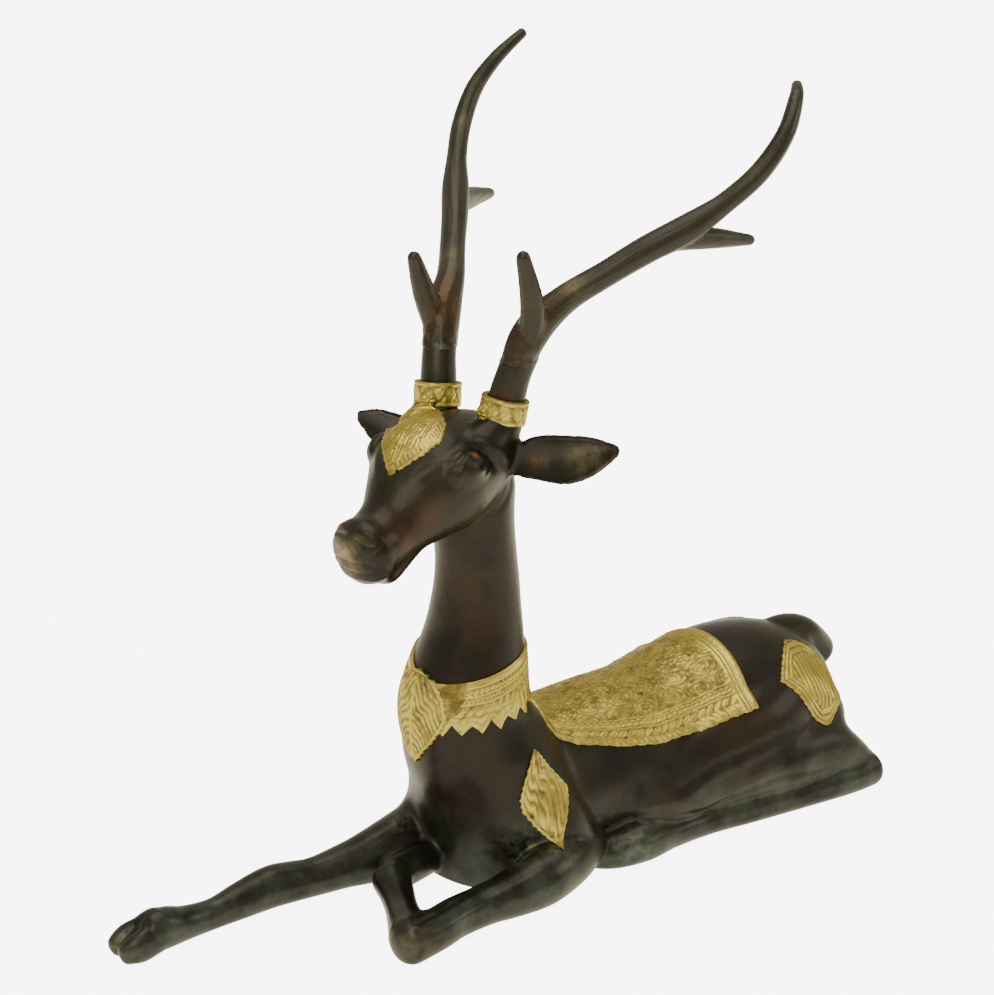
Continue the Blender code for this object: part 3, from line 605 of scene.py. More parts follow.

# %% [markdown]
# Every piece gets the same finish steps: moved to where the CAD stands, shaded smooth, tied to the
# CAD body, and given its material.

# %% Make a mesh into a piece
def piece(name, mesh, slot, material, *stands_for):
    mesh.transform(Matrix.Translation(FIGURE_SHIFT))
    mesh.polygons.foreach_set("use_smooth", np.ones(len(mesh.polygons), bool))
    mesh.materials.clear()
    mesh.materials.append(material)
    made = in_scene(name, mesh)
    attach(made, "root")
    for node in stands_for:
        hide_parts(node)
    mesh.calc_loop_triangles()
    print(name, len(mesh.loop_triangles), "triangles")


def mark(mesh, name, values):
    """Keep one number at each vertex, for a material to read."""
    layer = mesh.attributes.new(name, "FLOAT", "POINT")
    layer.data.foreach_set("value", np.asarray(values, np.float32))


# %% [markdown]
# Old bronze is nearly black brown with a satin shine. It is warmer where handling has thinned the
# patina, and grey green low down. The colours come from noise on the object's own coordinates, and
# from marks kept at the vertices for the places that are warm, worn or dusty, and for a painted
# highlight on the brow. The gilding has painted shade in the hollows of its relief, which are marked
# in the same way: there it is browner and darker, broken up like dirt, and paler on what stands out.

# %% The bronze and the gilding
class Nodes:
    """Short words for building a material's nodes."""

    def __init__(self, name):
        self.material = bpy.data.materials.new(name)
        self.material.use_nodes = True
        self.tree = self.material.node_tree
        self.shader = self.tree.nodes["Principled BSDF"]
        self.where = self.add("ShaderNodeTexCoord").outputs["Object"]

    def add(self, kind, **settings):
        made = self.tree.nodes.new(kind)
        for key, value in settings.items():
            setattr(made, key, value)
        return made

    def plug(self, value, socket):
        if isinstance(value, bpy.types.NodeSocket):
            self.tree.links.new(value, socket)
        elif isinstance(value, tuple):
            opaque = len(value) == 3 and len(socket.default_value) == 4
            socket.default_value = (*value, 1) if opaque else value
        else:
            socket.default_value = value

    def made(self, kind, inputs, output, **settings):
        """A new node with its inputs given or linked, and the output that is wanted."""
        node = self.add(kind, **settings)
        for socket, value in inputs.items():
            self.plug(value, node.inputs[socket])
        return node.outputs[output]

    def noise(self, scale, detail):
        inputs = {"Vector": self.where, "Scale": scale, "Detail": detail, "Roughness": 0.55}
        return self.made("ShaderNodeTexNoise", inputs, "Fac")

    def mark(self, name):
        return self.made("ShaderNodeAttribute", {}, "Fac", attribute_name=name)

    def ramp(self, value, low, high, bottom=0.0, top=1.0):
        inputs = {"Value": value, "From Min": low, "From Max": high, "To Min": bottom, "To Max": top}
        return self.made("ShaderNodeMapRange", inputs, "Result")

    def add_up(self, a, b):
        return self.made("ShaderNodeMath", {0: a, 1: b}, 0, operation="ADD")

    def times(self, a, b):
        return self.made("ShaderNodeMath", {0: a, 1: b}, 0, operation="MULTIPLY", use_clamp=True)

    def mix(self, share, a, b):
        return self.made("ShaderNodeMix", {"Factor": share, 6: a, 7: b}, 2, data_type="RGBA")

    def surface(self, **values):
        """Give the shader its values. A space in a socket's name is written as a low line."""
        for name, value in values.items():
            self.plug(value, self.shader.inputs[name.replace("_", " ")])

    def bump(self, height, strength, distance):
        inputs = {"Height": height, "Strength": strength, "Distance": distance * UNIT}
        self.surface(Normal=self.made("ShaderNodeBump", inputs, "Normal"))


def bronze(name):
    n = Nodes(name)
    cloudy, fine = n.noise(26, 6), n.noise(230, 5)
    colour = n.mix(n.ramp(cloudy, 0.35, 0.68), (0.007, 0.0062, 0.0036), (0.0165, 0.0138, 0.0068))
    layers = [
        # this tint is the patina's own, except on the brow, where it is a painted highlight
        ("olive", n.ramp(n.noise(70, 5), 0.3, 0.7, 0.55, 1.0), (0.028, 0.0255, 0.0145)),
        ("warm", n.ramp(n.noise(38, 5), 0.36, 0.6), (0.06, 0.026, 0.009)),
        ("green", n.ramp(n.noise(60, 6), 0.38, 0.64), (0.036, 0.04, 0.026)),
        ("dust", n.ramp(fine, 0.42, 0.62), (0.15, 0.16, 0.1)),
        ("brass", n.ramp(n.noise(160, 4), 0.3, 0.6), (0.22, 0.16, 0.07)),
        ("rub", n.ramp(n.noise(420, 3), 0.3, 0.55, 0.5, 1.0), (0.5, 0.21, 0.09)),
    ]
    for place, cloud, tint in layers:
        colour = n.mix(n.times(n.mark(place), cloud), colour, tint)
    n.surface(Base_Color=colour, Metallic=0.65, Roughness=n.ramp(cloudy, 0.3, 0.7, 0.31, 0.45))
    n.surface(Specular_Tint=(1.0, 0.93, 0.68), Specular_IOR_Level=0.27, Coat_Weight=0.07, Coat_Roughness=0.15)
    n.bump(n.add_up(fine, n.noise(900, 2)), 0.22, 0.5)
    return n.material


def gilding(name):
    n = Nodes(name)
    gold = n.mix(n.ramp(n.noise(55, 6), 0.34, 0.66), (0.335, 0.25, 0.041), (0.46, 0.356, 0.064))
    uneven_dirt = n.ramp(n.noise(140, 5), 0.3, 0.7, -0.3, 0.3)
    # painted shade: the low ground of the relief is mixed towards dark brown, made uneven by noise like dirt
    hollow_shade_and_dirt = n.ramp(n.add_up(n.mark("hollow"), uneven_dirt), 0.4, 1.15)
    gold = n.mix(hollow_shade_and_dirt, gold, (0.12, 0.08, 0.014))
    pits = n.times(n.ramp(n.noise(310, 2), 0.66, 0.72), n.mark("hollow"))
    gold = n.mix(pits, gold, (0.03, 0.022, 0.01))
    n.surface(Base_Color=gold, Specular_Tint=(1.0, 0.86, 0.45))
    n.surface(Metallic=n.ramp(hollow_shade_and_dirt, 0, 1, 0.85, 0.5), Roughness=n.ramp(hollow_shade_and_dirt, 0, 1, 0.33, 0.55))
    n.bump(n.noise(420, 4), 0.35, 0.5)
    return n.material


dark_bronze, gold = bronze("dark_bronze"), gilding("gilding")
print("materials", dark_bronze.name, gold.name)

# %% [markdown]
# Where the patina is warm, worn to copper or dusty is the figure's own history, and a pale spot on
# the brow is a painted highlight. Each such place is a spot with a size, and a vertex is marked by
# how near it is to one.

# %% Marks of wear, and a painted highlight
def spots(points, places):
    """How strongly each point is marked by spots of (x, y, z, radius, strength)."""
    found = np.zeros(len(points))
    for x, y, z, radius, strength in places:
        gap = np.linalg.norm(points - np.array((x, y, z)), axis=1)
        found = np.maximum(found, strength * np.exp(-((gap / radius) ** 2)))
    return found


def head_spots(places):
    return [(*head_point(f, l, z), radius, strength) for f, l, z, radius, strength in places]


GREEN_BELOW, OLIVE_ABOVE = 52, 244


def mark_wear_and_highlight(mesh, **places):
    """Mark where a mesh is warm, rubbed, dusty, brassy, olive or painted with a highlight, and how green it
    is low down.
    """
    points = read(mesh, "co")
    found = {name: spots(points, places.get(name, ())) for name in ("warm", "rub", "dust", "brass", "olive")}
    height = points[:, 2]
    found["green"] = np.clip((GREEN_BELOW - height) / 40, 0, 1)
    found["olive"] = np.maximum(found["olive"], np.clip((height - OLIVE_ABOVE) / 8, 0, 1))
    for name, values in found.items():
        mark(mesh, name, values)


mark_wear_and_highlight(
    head_skin,
    warm=head_spots([  # snout, neck and the root of the antler
        (38, 18, 202, 12, 0.5), (52, 14, 194, 11, 0.7), (5, 20, 160, 26, 0.35),
        (-12, 24, 246, 6, 0.8), (5, 22, 130, 24, 0.4),
    ]),
    rub=head_spots([  # the eye, and a streak in the ear
        (12, 26.5, 226, 1.7, 0.7), (-20, 37.5, 217, 2.6, 0.12),
        (-20.5, 40, 217.2, 2.6, 0.12), (-21, 42.5, 217.5, 2.6, 0.12),
    ]),
    olive=head_spots([  # the dish of the ear, the brow and the cheek
        # the last spot below, on the brow, is a painted highlight
        (-23, 45, 220, 9, 0.9), (-24, 56, 222, 10, 1), (-24, 68, 225, 10, 1), (27, 18, 224, 8, 1),
        (14, 27, 207, 14, 0.85), (30, 20, 208, 10, 0.7), (40, 8, 215, 10, 0.6),
    ]),
    brass=head_spots([  # the tip of the muzzle, and the ear
        (69, -4, 190, 8, 1), (66, -2, 182, 6, 0.5), (-24, 61, 221, 7, 0.4), (-24, 70, 224, 7, 0.4),
    ]),
)
mark_wear_and_highlight(
    body_skin,
    warm=[(-100, -20, 66, 26, 0.2), (-50, -46, 50, 16, 0.35), (60, -50, 50, 26, 0.3), (0, -50, 30, 16, 0.4)],
    dust=[(-80, -46, 25, 9, 0.7), (-66, -55, 20, 8, 0.5), (-112, 12, 26, 6, 0.5), (-14, -52, 9, 9, 0.5)],
    brass=[(-264, 20, 9, 6, 0.2), (-264, 12, 6, 5, 0.15), (-160, -66, 10, 8, 0.2)],
)
piece("deer_body", body_skin, "bronze", dark_bronze, "deer")
piece("deer_head", head_skin, "bronze", dark_bronze, "deer")

# %% [markdown]
# The antlers were cast apart and lapped over stubs on the head. Their skin has faint ridges that
# run along the beam, and a rough seam with a wandering edge where each meets its stub.

# %% Antlers
LAP, LAP_FADE, LAP_THICKNESS = 1.2, 2.5, 0.22  # an antler's skin comes down over its stub by a lap
RIDGE = 0.06


def antler(name, hand):
    def beam(bm):
        head_loft(bm, beam_stations(hand, 1), BEAM_RADIUS, sides=28)

    def tines(bm):
        for tine in tine_stations(hand):
            head_loft(bm, tine, TINE_RADIUS, sides=28, caps=(0.6, 1.15))

    mesh = grown(name, [beam, tines], voxel=0.62, smoothing=9)
    soften_near(mesh, [(-27, 28, 281, 11)], rounds=16)
    cut(mesh, [((0, 0, SEAT_HEIGHT - LAP), UP)])
    points, normals = read(mesh, "co"), read(mesh, "normal")
    push = np.zeros(len(points))
    runs = [beam_stations(hand, 1)] + tine_stations(hand)
    lines = [np.array([tuple(head_point(*row[:3])) for row in between(run, 5)]) for run in runs]
    measured = [distance_to(points, line) for line in lines]
    owner = np.stack([gap for gap, share in measured]).argmin(0)
    for k, line in enumerate(lines):
        mine = owner == k
        share = measured[k][1][mine]
        place = share * (len(line) - 1)
        low = np.clip(place.astype(int), 0, len(line) - 2)
        centre = line[low] + (line[low + 1] - line[low]) * (place - low)[:, None]
        away = points[mine] - centre
        tangent = line[low + 1] - line[low]
        tangent /= np.linalg.norm(tangent, axis=1)[:, None]
        side = np.cross(tangent, np.array(HEAD_LEFT))
        up = np.cross(side, tangent)
        turn = np.arctan2((away * side).sum(1), (away * up).sum(1))
        wave = np.sin(9 * turn + 2.4 * np.sin(9 * share + k))
        wave += 0.6 * np.sin(17 * turn + 3 * np.sin(14 * share))
        push[mine] = RIDGE * wave
    height = points[:, 2]
    seam = np.exp(-(((height - SEAT_HEIGHT - 2.5) / 2.0) ** 2))
    push += seam * 0.3 * (np.sin(points[:, 0] * 0.9) * np.sin(points[:, 1] * 1.1 + 1) - 0.3)
    # the lap over the stub is a little thicker, and its edge wanders up and down
    lap = np.clip((SEAT_HEIGHT + LAP_FADE - height) / (LAP_FADE + LAP), 0, 1)
    around = points - points[height < SEAT_HEIGHT].mean(0)
    turn = np.arctan2(around[:, 0], around[:, 1])
    push += lap * LAP_THICKNESS
    points[:, 2] += lap * (0.8 * np.sin(3 * turn + hand) + 0.5 * np.sin(7 * turn + 1))
    write(mesh, points + normals * push[:, None])
    mark_wear_and_highlight(
        mesh,
        warm=head_spots([
            (-28, 27 * hand, 275, 15, 1), (-27, 31 * hand, 288, 12, 1), (-20, 31 * hand, 306, 9, 0.5),
        ]),
        rub=head_spots([(-50, 38 * hand, 296, 2.6, 0.3), (-140, 92 * hand, 362, 2.4, 0.6)]),
        brass=head_spots([(-48, 37 * hand, 295, 7, 0.35), (-120, 86 * hand, 344, 6, 0.2)]),
        dust=head_spots([(-26, 30 * hand, 264, 4, 0.6), (-20, 16 * hand, 264, 4, 0.5)]),
    )
    piece(name + "_cast", mesh, "bronze", dark_bronze, name)


antler("antler_left", LEFT)
antler("antler_right", RIGHT)

# %% [markdown]
# A gilt panel is a sheet laid on the skin. It starts as a flat grid. Each point of the grid is
# sent along a ray to the skin, and then out along the normal by the height of the chased pattern
# there. A copy of the sheet is sunk in the bronze, and the two borders are bridged, so that a
# panel is a closed body.

# %% Lay a panel on the skin
FIGURE_CORE = (-30, 0, 40)  # a spot inside the body that every panel on it faces away from
RAY_START = 70  # rays to the skin start this far out
PANEL_BASE, GROUND = 0.75, 0.1  # a sheet stands this proud of the skin, and its ground a little more
FAR_AWAY = 900  # a band with no end


def close_back(bm, keys, sink, ring, way):
    """Give a sheet an inner side that is sunk in the bronze, and join the two round the border."""
    doubles = bmesh.ops.duplicate(bm, geom=bm.verts[:] + bm.edges[:] + bm.faces[:])
    inner_faces = [item for item in doubles["geom"] if isinstance(item, bmesh.types.BMFace)]
    inner_verts = [item for item in doubles["geom"] if isinstance(item, bmesh.types.BMVert)]
    for vert in inner_verts:
        vert.co -= (way or vert.normal) * sink * UNIT
    bmesh.ops.reverse_faces(bm, faces=inner_faces)
    borders = [[edge for edge in bm.edges if edge.is_boundary]]
    if ring:
        edges = borders[0]
        borders = [[e for e in edges if (e.verts[0][keys].y > 0.5) == far] for far in (False, True)]
    for border in borders:
        bmesh.ops.bridge_loops(bm, edges=border)


def gilt_sheet(name, rows, columns, place, pattern, ring=False, sink=3.0, soften=3, way=None):
    """A gilt sheet: place gives each (s, t) a spot, and pattern its height in millimetres."""
    bm = bmesh.new()
    bmesh.ops.create_grid(bm, x_segments=columns, y_segments=rows, size=0.5)
    at = np.array([(v.co.x + 0.5, v.co.y + 0.5) for v in bm.verts])
    spots_at = place(at[:, 0], at[:, 1])
    keys = bm.verts.layers.float_vector.new("grid")
    for vert, spot, (s, t) in zip(bm.verts, spots_at, at):
        vert.co = spot
        vert[keys] = (s, t, 0)
    if ring:
        bmesh.ops.remove_doubles(bm, verts=bm.verts, dist=0.02 * UNIT)
    smooth(bm, [v for v in bm.verts if not v.is_boundary], soften)
    bmesh.ops.recalc_face_normals(bm, faces=bm.faces)
    bm.normal_update()
    outer = bm.verts[:]
    points = np.array([tuple(v.co) for v in outer])
    normals = np.array([tuple(v.normal) for v in outer])
    # a sheet's own normals may point either way: the skin is nearer to the figure's middle line
    inside = np.array(FIGURE_CORE if not ring else points.mean(0) / UNIT) * UNIT
    if ((points - inside) * normals).sum() < 0:
        bmesh.ops.reverse_faces(bm, faces=bm.faces)
        bm.normal_update()
        normals = -normals
    if way:  # near a pointed end the cells are too thin to trust their own normals
        normals[normals @ np.array(way) < 0.35] = way
    grid = np.array([tuple(v[keys]) for v in outer])
    height = pattern(grid[:, 0], grid[:, 1])
    bm.verts.index_update()
    close_back(bm, keys, sink, ring, way)
    for vert, spot in zip(outer, points + normals * (height * UNIT)[:, None]):
        vert.co = spot
    mesh = bpy.data.meshes.new(name)
    # hollow is 1 on the low ground of the relief, where the gilding gets painted shade
    hollow = np.ones(len(bm.verts))
    low, high = np.percentile(height, 20), np.percentile(height, 92)
    hollow[: len(height)] = np.clip((high - height) / max(high - low, 0.05), 0, 1)
    put_back(bm, mesh)
    mesh.attributes.remove(mesh.attributes["grid"])
    mark(mesh, "hollow", hollow)
    piece(name, mesh, "gilding", gold)


def skin_at(starts, ways, tree):
    """Where rays from starts along ways meet the skin."""
    found = []
    for start, way in zip(starts, ways):
        spot = tree.ray_cast(Vector(start) * UNIT, Vector(way))[0]
        found.append(spot or tree.find_nearest(Vector(start) * UNIT)[0])
    return found


print("panels face away from", FIGURE_CORE, "and stand", PANEL_BASE, "mm proud")

# %% [markdown]
# Chasing repeats a few strokes: a rounded ridge, a row of beads, a rope, a leaf, a scroll. Each is
# a small function of millimetres along and across a band, and the panels are built up from them.
# Where strokes meet, the tallest one shows.

# %% Strokes of the chaser
def dome(distance, radius):
    return np.sqrt(np.clip(1 - (distance / radius) ** 2, 0, 1))


def tallest(*heights):
    return np.maximum.reduce(heights)


def band(value, low, high, soft=0.35):
    """1 between low and high, with soft edges."""
    return np.clip((value - low) / soft, 0, 1) * np.clip((high - value) / soft, 0, 1)


def ripple(value, pitch):
    """A wave between 0 and 1 with a crest at every pitch."""
    return 0.5 + 0.5 * np.cos(2 * math.pi * value / pitch)


def wrap(value, pitch):
    """Distance along a row from the middle of the nearest repeat."""
    return (value / pitch - np.floor(value / pitch) - 0.5) * pitch


def beads(along, across, pitch, radius):
    return dome(np.hypot(wrap(along, pitch), across), radius)


def rope(along, across, pitch, width):
    strand = ripple(along + 0.9 * across, pitch)
    return dome(across, width) * (0.35 + 0.65 * strand)


def leaf_row(along, across, pitch, width, slant=0.6):
    """A row of slanted leaves, each with a vein."""
    at = wrap(along - slant * across, pitch)
    shape = np.clip(1 - (np.abs(at) / (0.46 * pitch)) ** 1.6 - (np.abs(across) / width) ** 4, 0, 1)
    vein = np.exp(-((at / (0.09 * pitch)) ** 2)) * (np.abs(across) < 0.8 * width)
    return np.sqrt(shape) - 0.45 * vein * (shape > 0)


def braid(along, across, pitch, width):
    """Two rows of short strokes that lean towards each other, like wheat."""
    strand = ripple(along + 1.1 * np.abs(across), pitch)
    parting = 0.55 + 0.45 * band(np.abs(across), 0.15, 90, 0.5)
    return np.sqrt(strand) * band(across, -width, width, 0.5) * parting


def fret(along, across, pitch):
    """Square curls side by side, every other one turned."""
    x, y = wrap(along, pitch), wrap(across, pitch)
    reach = np.maximum(np.abs(x), np.abs(y)) + 0.12 * np.arctan2(y, x)
    return dome(wrap(reach, pitch / 4.6), pitch / 11)


def scrolls(along, across, pitch):
    """Vine scrolls that turn this way and that. One in three holds a rosette, the others a curl."""
    best = None
    for dr in (-1, 0, 1):
        r = np.floor(across / (0.866 * pitch)) + dr
        off = 0.5 * pitch * np.mod(r, 2)
        for dc in (-1, 0, 1):
            c = np.floor((along - off) / pitch) + dc
            x = along - (c + 0.5) * pitch - off
            y = across - (r + 0.5) * 0.866 * pitch
            gap = np.hypot(x, y)
            hand = np.where(np.mod(c + r, 2) == 0, 1.0, -1.0)
            here = (gap, x, y, hand, np.mod(c + 2 * r, 3))
            if best is None:
                best = list(here)
            else:
                closer = gap < best[0]
                best = [np.where(closer, new, old) for new, old in zip(here, best)]
    gap, x, y, hand, kind = best
    turn = np.arctan2(y, x) * hand
    bead = dome(gap, 0.085 * pitch)
    ring = wrap(turn / (2 * math.pi), 1 / 7) * 2 * math.pi * 0.2 * pitch
    petals = dome(np.hypot(ring, gap - 0.2 * pitch), 0.078 * pitch)
    curl = dome(wrap(gap / pitch + 0.3 * turn / (2 * math.pi), 0.15), 0.05)
    curl = curl * (0.6 + 0.4 * np.cos(3 * turn)) * (gap < 0.34 * pitch)
    petals, bead = np.where(kind == 0, petals, curl), np.where(kind == 0, bead, 0)
    reach = (gap / pitch - 0.33 - 0.17 * turn / (2 * math.pi)) / 0.17
    stem = dome(wrap(reach, 1.0), 0.3) * (gap > 0.31 * pitch)
    leaves = 0.6 + 0.4 * np.cos(7 * turn + 9 * gap / pitch)
    return tallest(bead, 0.9 * petals, 0.8 * stem * leaves)


print("strokes: beads, rope, braid, leaf_row, fret, scrolls")

# %% [markdown]
# The saddle cloth lies over the back. Its rear edge has a thick rim. Along its lower edge run a
# rope, a row of slanted leaves and a braid, and its field is full of small vine scrolls.

# %% The saddle cloth
CLOTH_EDGE = [(-47, 38), (-41, 50), (-32, 60), (-9, 72), (13, 78), (36, 77), (54, 74), (70, 73)]
CLOTH_FRONT, CLOTH_BACK, CLOTH_AXIS, CLOTH_ROUND = -47, 70, 45, 47
SCROLL_PITCH, ROPE_AT, LEAVES_AT, BRAID_AT, RIDGES_AT = 16.5, 3.0, 7.4, 14.0, (10.8, 17.4)
BORDER_WIDTH, RIM_WIDTH = 18, 8.6


def cloth_reach(x):
    xs, angles = zip(*CLOTH_EDGE)
    uneven = 0.25 * np.sin(0.9 * x) + 0.15 * np.sin(2.1 * x + 1)
    return np.radians(np.interp(x, xs, angles) + uneven)


def cloth_place(s, t):
    x = CLOTH_FRONT + (CLOTH_BACK - CLOTH_FRONT) * t
    turn = cloth_reach(x) * (2 * s - 1)
    outward = np.stack([0 * turn, np.sin(turn), np.cos(turn)], 1)
    starts = np.stack([x + 8 * np.cos(turn) * t, 0 * x, 0 * x + CLOTH_AXIS], 1) + outward * RAY_START
    return skin_at(starts, -outward, tree)


def cloth_pattern(s, t):
    x = CLOTH_FRONT + (CLOTH_BACK - CLOTH_FRONT) * t
    reach = cloth_reach(x)
    turn = reach * (2 * s - 1)
    arc = turn * CLOTH_ROUND
    below = (reach - np.abs(turn)) * CLOTH_ROUND
    front, back = x - CLOTH_FRONT, CLOTH_BACK - x
    edge = np.minimum(np.minimum(below, front), back)
    warp = 1.6 * np.sin(arc / 6.1 + 0.4 * np.sin(x / 9)), 1.6 * np.sin(x / 7.3 + 1)
    field = 0.32 * scrolls(x + 4 + warp[0], arc + 3 + warp[1], SCROLL_PITCH)
    height = GROUND + field * band(edge, 2.4, FAR_AWAY)
    # lower border, from the edge up: rope, leaves, and a braid between two ridges
    lower = tallest(
        0.5 * rope(x, below - ROPE_AT, 3.4, 1.9),
        0.45 * leaf_row(x, below - LEAVES_AT, 4.8, 2.4, 0.8),
        0.85 * braid(x, below - BRAID_AT, 3.4, 2.2),
        0.5 * dome(below - RIDGES_AT[0], 0.7),
        0.5 * dome(below - RIDGES_AT[1], 0.6),
    )
    in_border = (below < BORDER_WIDTH) & (back > RIM_WIDTH)
    height = np.where(in_border, GROUND + lower * band(front, 2, FAR_AWAY, 4), height)
    # rims: a thin worn one all round, and a thick one with two ridges inside it behind
    worn = 0.75 + 0.25 * np.sin(x * 0.9) * np.sin(x * 0.37 + 1)
    height = np.maximum(height, 0.45 * worn * dome(edge - 0.7, 1.1))
    rear = GROUND + tallest(dome(back - 1.7, 2.1), 0.55 * dome(back - 5.2, 0.9), 0.55 * dome(back - 7.4, 0.9))
    height = np.where(back < RIM_WIDTH, rear, height)
    dents = 0.08 * np.sin(x * 0.7 + 2 * np.sin(arc * 0.31)) * np.sin(arc * 0.8)
    return PANEL_BASE + height + dents


CLOTH_ROWS, CLOTH_COLUMNS = 190, 210
gilt_sheet("saddle_cloth", CLOTH_ROWS, CLOTH_COLUMNS, cloth_place, cloth_pattern)

# %% [markdown]
# Two lozenges sit on the shoulders and two on the haunches, a shield on the forehead and a pendant
# on the chest. Each is a sheet between two chains of points, with a raised border and strokes of
# its own: flames on the shoulders, hoops on the haunches, square curls on the forehead, and ribs
# that lean out from a spine on the pendant.

# %% Leaf-shaped panels
# strokes give a height at a mm along the panel, b mm off its middle and edge mm inside its border
def leaf_strokes(a, b, edge):
    """Curved ribs that lean out from a spine."""
    swirl = 1.5 * np.sin(a / 5.5 + np.abs(b) / 2.6) + 0.6 * np.sin(a / 2.1 - b / 1.7)
    rib = ripple(a - 0.9 * np.abs(b) - 0.03 * b * b + swirl, 4.8)
    uneven = 0.6 + 0.25 * np.sin(a / 3.7 + b / 2.9) + 0.15 * np.sin(a * 1.1 - b)
    return tallest(0.7 * rib * uneven, 0.45 * dome(b, 1.0))


def flame_strokes(a, b, edge):
    """Long tongues that sway along the panel, each a little different."""
    sway = b + 1.6 * np.sin(a / 5.2 + 0.12 * b) + 0.7 * np.sin(a / 2.3 + b)
    tongue = ripple(sway, 3.3)
    return tongue**0.8 * (0.62 + 0.38 * np.sin(a / 3.1 + 2.1 * np.floor(sway / 3.3 + 0.5)))


def hoop_strokes(a, b, edge):
    """Straight strokes down the middle that turn into hoops along the border."""
    hoop = ripple(edge, 3.1)
    straight = ripple(b + 0.15 * a, 3.1)
    return np.where(edge > 8, straight, hoop) ** 0.8


def fret_strokes(a, b, edge):
    """Square curls above, and short dashes along the lower border."""
    curls = fret(a + 0.2 * b, b, 9.5)
    dashes = ripple(a - 0.8 * np.abs(b), 3.2)
    return np.where(edge < 5, 0.7 * dashes, 0.85 * curls)


def chain_panel(name, near, far, outward, rows, columns, tree, strokes, lift=0.0):
    """A gilt sheet between two chains of points, laid on the skin from where outward points."""
    near_line, far_line = np.array(near), np.array(far)
    count = len(near_line) - 1
    way, outward = Vector(outward).normalized(), np.array(outward)
    middle = (near_line + far_line) / 2
    run = np.concatenate([[0], np.cumsum(np.linalg.norm(np.diff(middle, axis=0), axis=1))])
    width = np.linalg.norm(far_line - near_line, axis=1)

    def at(t, values):
        return np.interp(t * count, np.arange(count + 1), values)

    def along(line, t):
        return np.stack([at(t, line[:, k]) for k in range(3)], 1)

    def place(s, t):
        a, w = at(t, run), at(t, width)
        rough = 0.3 * (np.sin(1.9 * a + 3 * s) + 0.7 * np.sin(4.3 * a + 1))
        s = s + rough / np.maximum(w, 3) * np.sign(2 * s - 1) * np.abs(2 * s - 1) ** 6
        spot = along(near_line, t) * (1 - s)[:, None] + along(far_line, t) * s[:, None]
        return skin_at(spot + outward * RAY_START, np.repeat(-outward[None], len(s), 0), tree)

    def pattern(s, t):
        a, w = at(t, run), at(t, width)
        b = (s - 0.5) * w
        edge = np.minimum(w / 2 - np.abs(b), np.minimum(a, run[-1] - a) * 0.8)
        height = GROUND + 0.6 * strokes(a, b, edge) * band(edge, 0.8, FAR_AWAY, 1.5)
        thin = 0.7 * np.clip(1 - w / 6, 0, 1)  # towards a pointed end
        return PANEL_BASE + tallest(height, 0.4 * dome(edge - 0.4, 1.0)) + lift - thin

    gilt_sheet(name, rows, columns, place, pattern, way=way)


SHOULDER_LOZENGE = (
    [
        (-65.5, 36.6, 72.6), (-71.1, 40.4, 65.3), (-74.8, 40.5, 57.4), (-77.2, 42, 50.6),
        (-76.3, 41.7, 43.8), (-71.3, 45.6, 36.3), (-66, 50.7, 30.2), (-63.7, 59, 26.3),
    ],
    [
        (-65, 36.6, 72.2), (-62, 38.4, 67.7), (-59.2, 40.1, 63.3), (-53.9, 42.8, 55.8),
        (-50.7, 43.6, 50.8), (-52.8, 47.1, 45.8), (-57.6, 52.5, 35.4), (-63.3, 59.3, 26.2),
    ],
    Vector((-0.15, 0.9, 0.4)),
)
HAUNCH_LOZENGE = (
    [(116, 19, 76.5), (109, 27, 74.5), (102, 35, 71), (95, 41, 66.6), (103.5, 47.6, 53), (116, 54.2, 40)],
    [(118, 19, 76), (127, 20, 71), (134, 23, 65), (137, 32, 55), (134, 40, 46), (118, 53.8, 40)],
    Vector((0.5, 0.65, 0.57)),
)
for hand, side in ((LEFT, "left"), (RIGHT, "right")):
    for name, (near, far, outward), strokes in (
        ("shoulder", SHOULDER_LOZENGE, flame_strokes),
        ("haunch", HAUNCH_LOZENGE, hoop_strokes),
    ):
        near, far = mirrored(near, -hand), mirrored(far, -hand)
        way = Vector((outward.x, -hand * outward.y, outward.z)).normalized()
        chain_panel(f"{name}_lozenge_{side}", near, far, way, 105, 50, tree, strokes)

# %% [markdown]
# The shield's points lie over the brow, and rays bring them down to it. The pendant is the same on
# both sides of the chest. It hangs over the neck collar, so it is lifted a little.

# %% The shield on the forehead and the pendant on the chest
SHIELD = (  # forward and left of the head's middle
    [(-4, -11), (-1, -5.5), (8.7, 7.3), (14.6, 10.9), (19, 12.8), (27.8, 10.4), (35, 5.6), (40.8, -0.2)],
    [(-4, -13), (-4, -18.5), (-0.5, -22.5), (7, -24.5), (17, -23), (27, -15.5), (35, -7), (40.6, -1)],
)
near, far = ([tuple(head_point(f, l, 240 - f / 2)) for f, l in chain] for chain in SHIELD)
way = (UP + HEAD_FORWARD * 0.5).normalized()
chain_panel("forehead_shield", near, far, way, 84, 70, head_tree, fret_strokes)
PENDANT = [  # height, and half the width there
    (112, 1), (109, 9), (105, 13.2), (100.3, 16.6), (92.3, 18.8),
    (87.5, 17.5), (78.4, 12), (71.7, 6.4), (64.5, 0.6),
]
near, far = ([(-110, w * hand, z) for z, w in PENDANT] for hand in (-1, 1))
chain_panel("chest_pendant", near, far, -ALONG, 96, 70, tree, leaf_strokes, lift=0.9)

# %% [markdown]
# The collar round the foot of the neck is a ring, so its grid is wrapped round and its two ends
# are merged. From the top it has a plain strip, a row of beads, two ridges with beads between,
# upright flutes, and a fringe of pointed teeth. It is lower where it passes under the pendant.

# %% The neck collar
TEETH, TOOTH = 22, 2.6
COLLAR_WIDTH, COLLAR_LENGTH, FRINGE = 22.5, 2 * math.pi * 31, 6.2


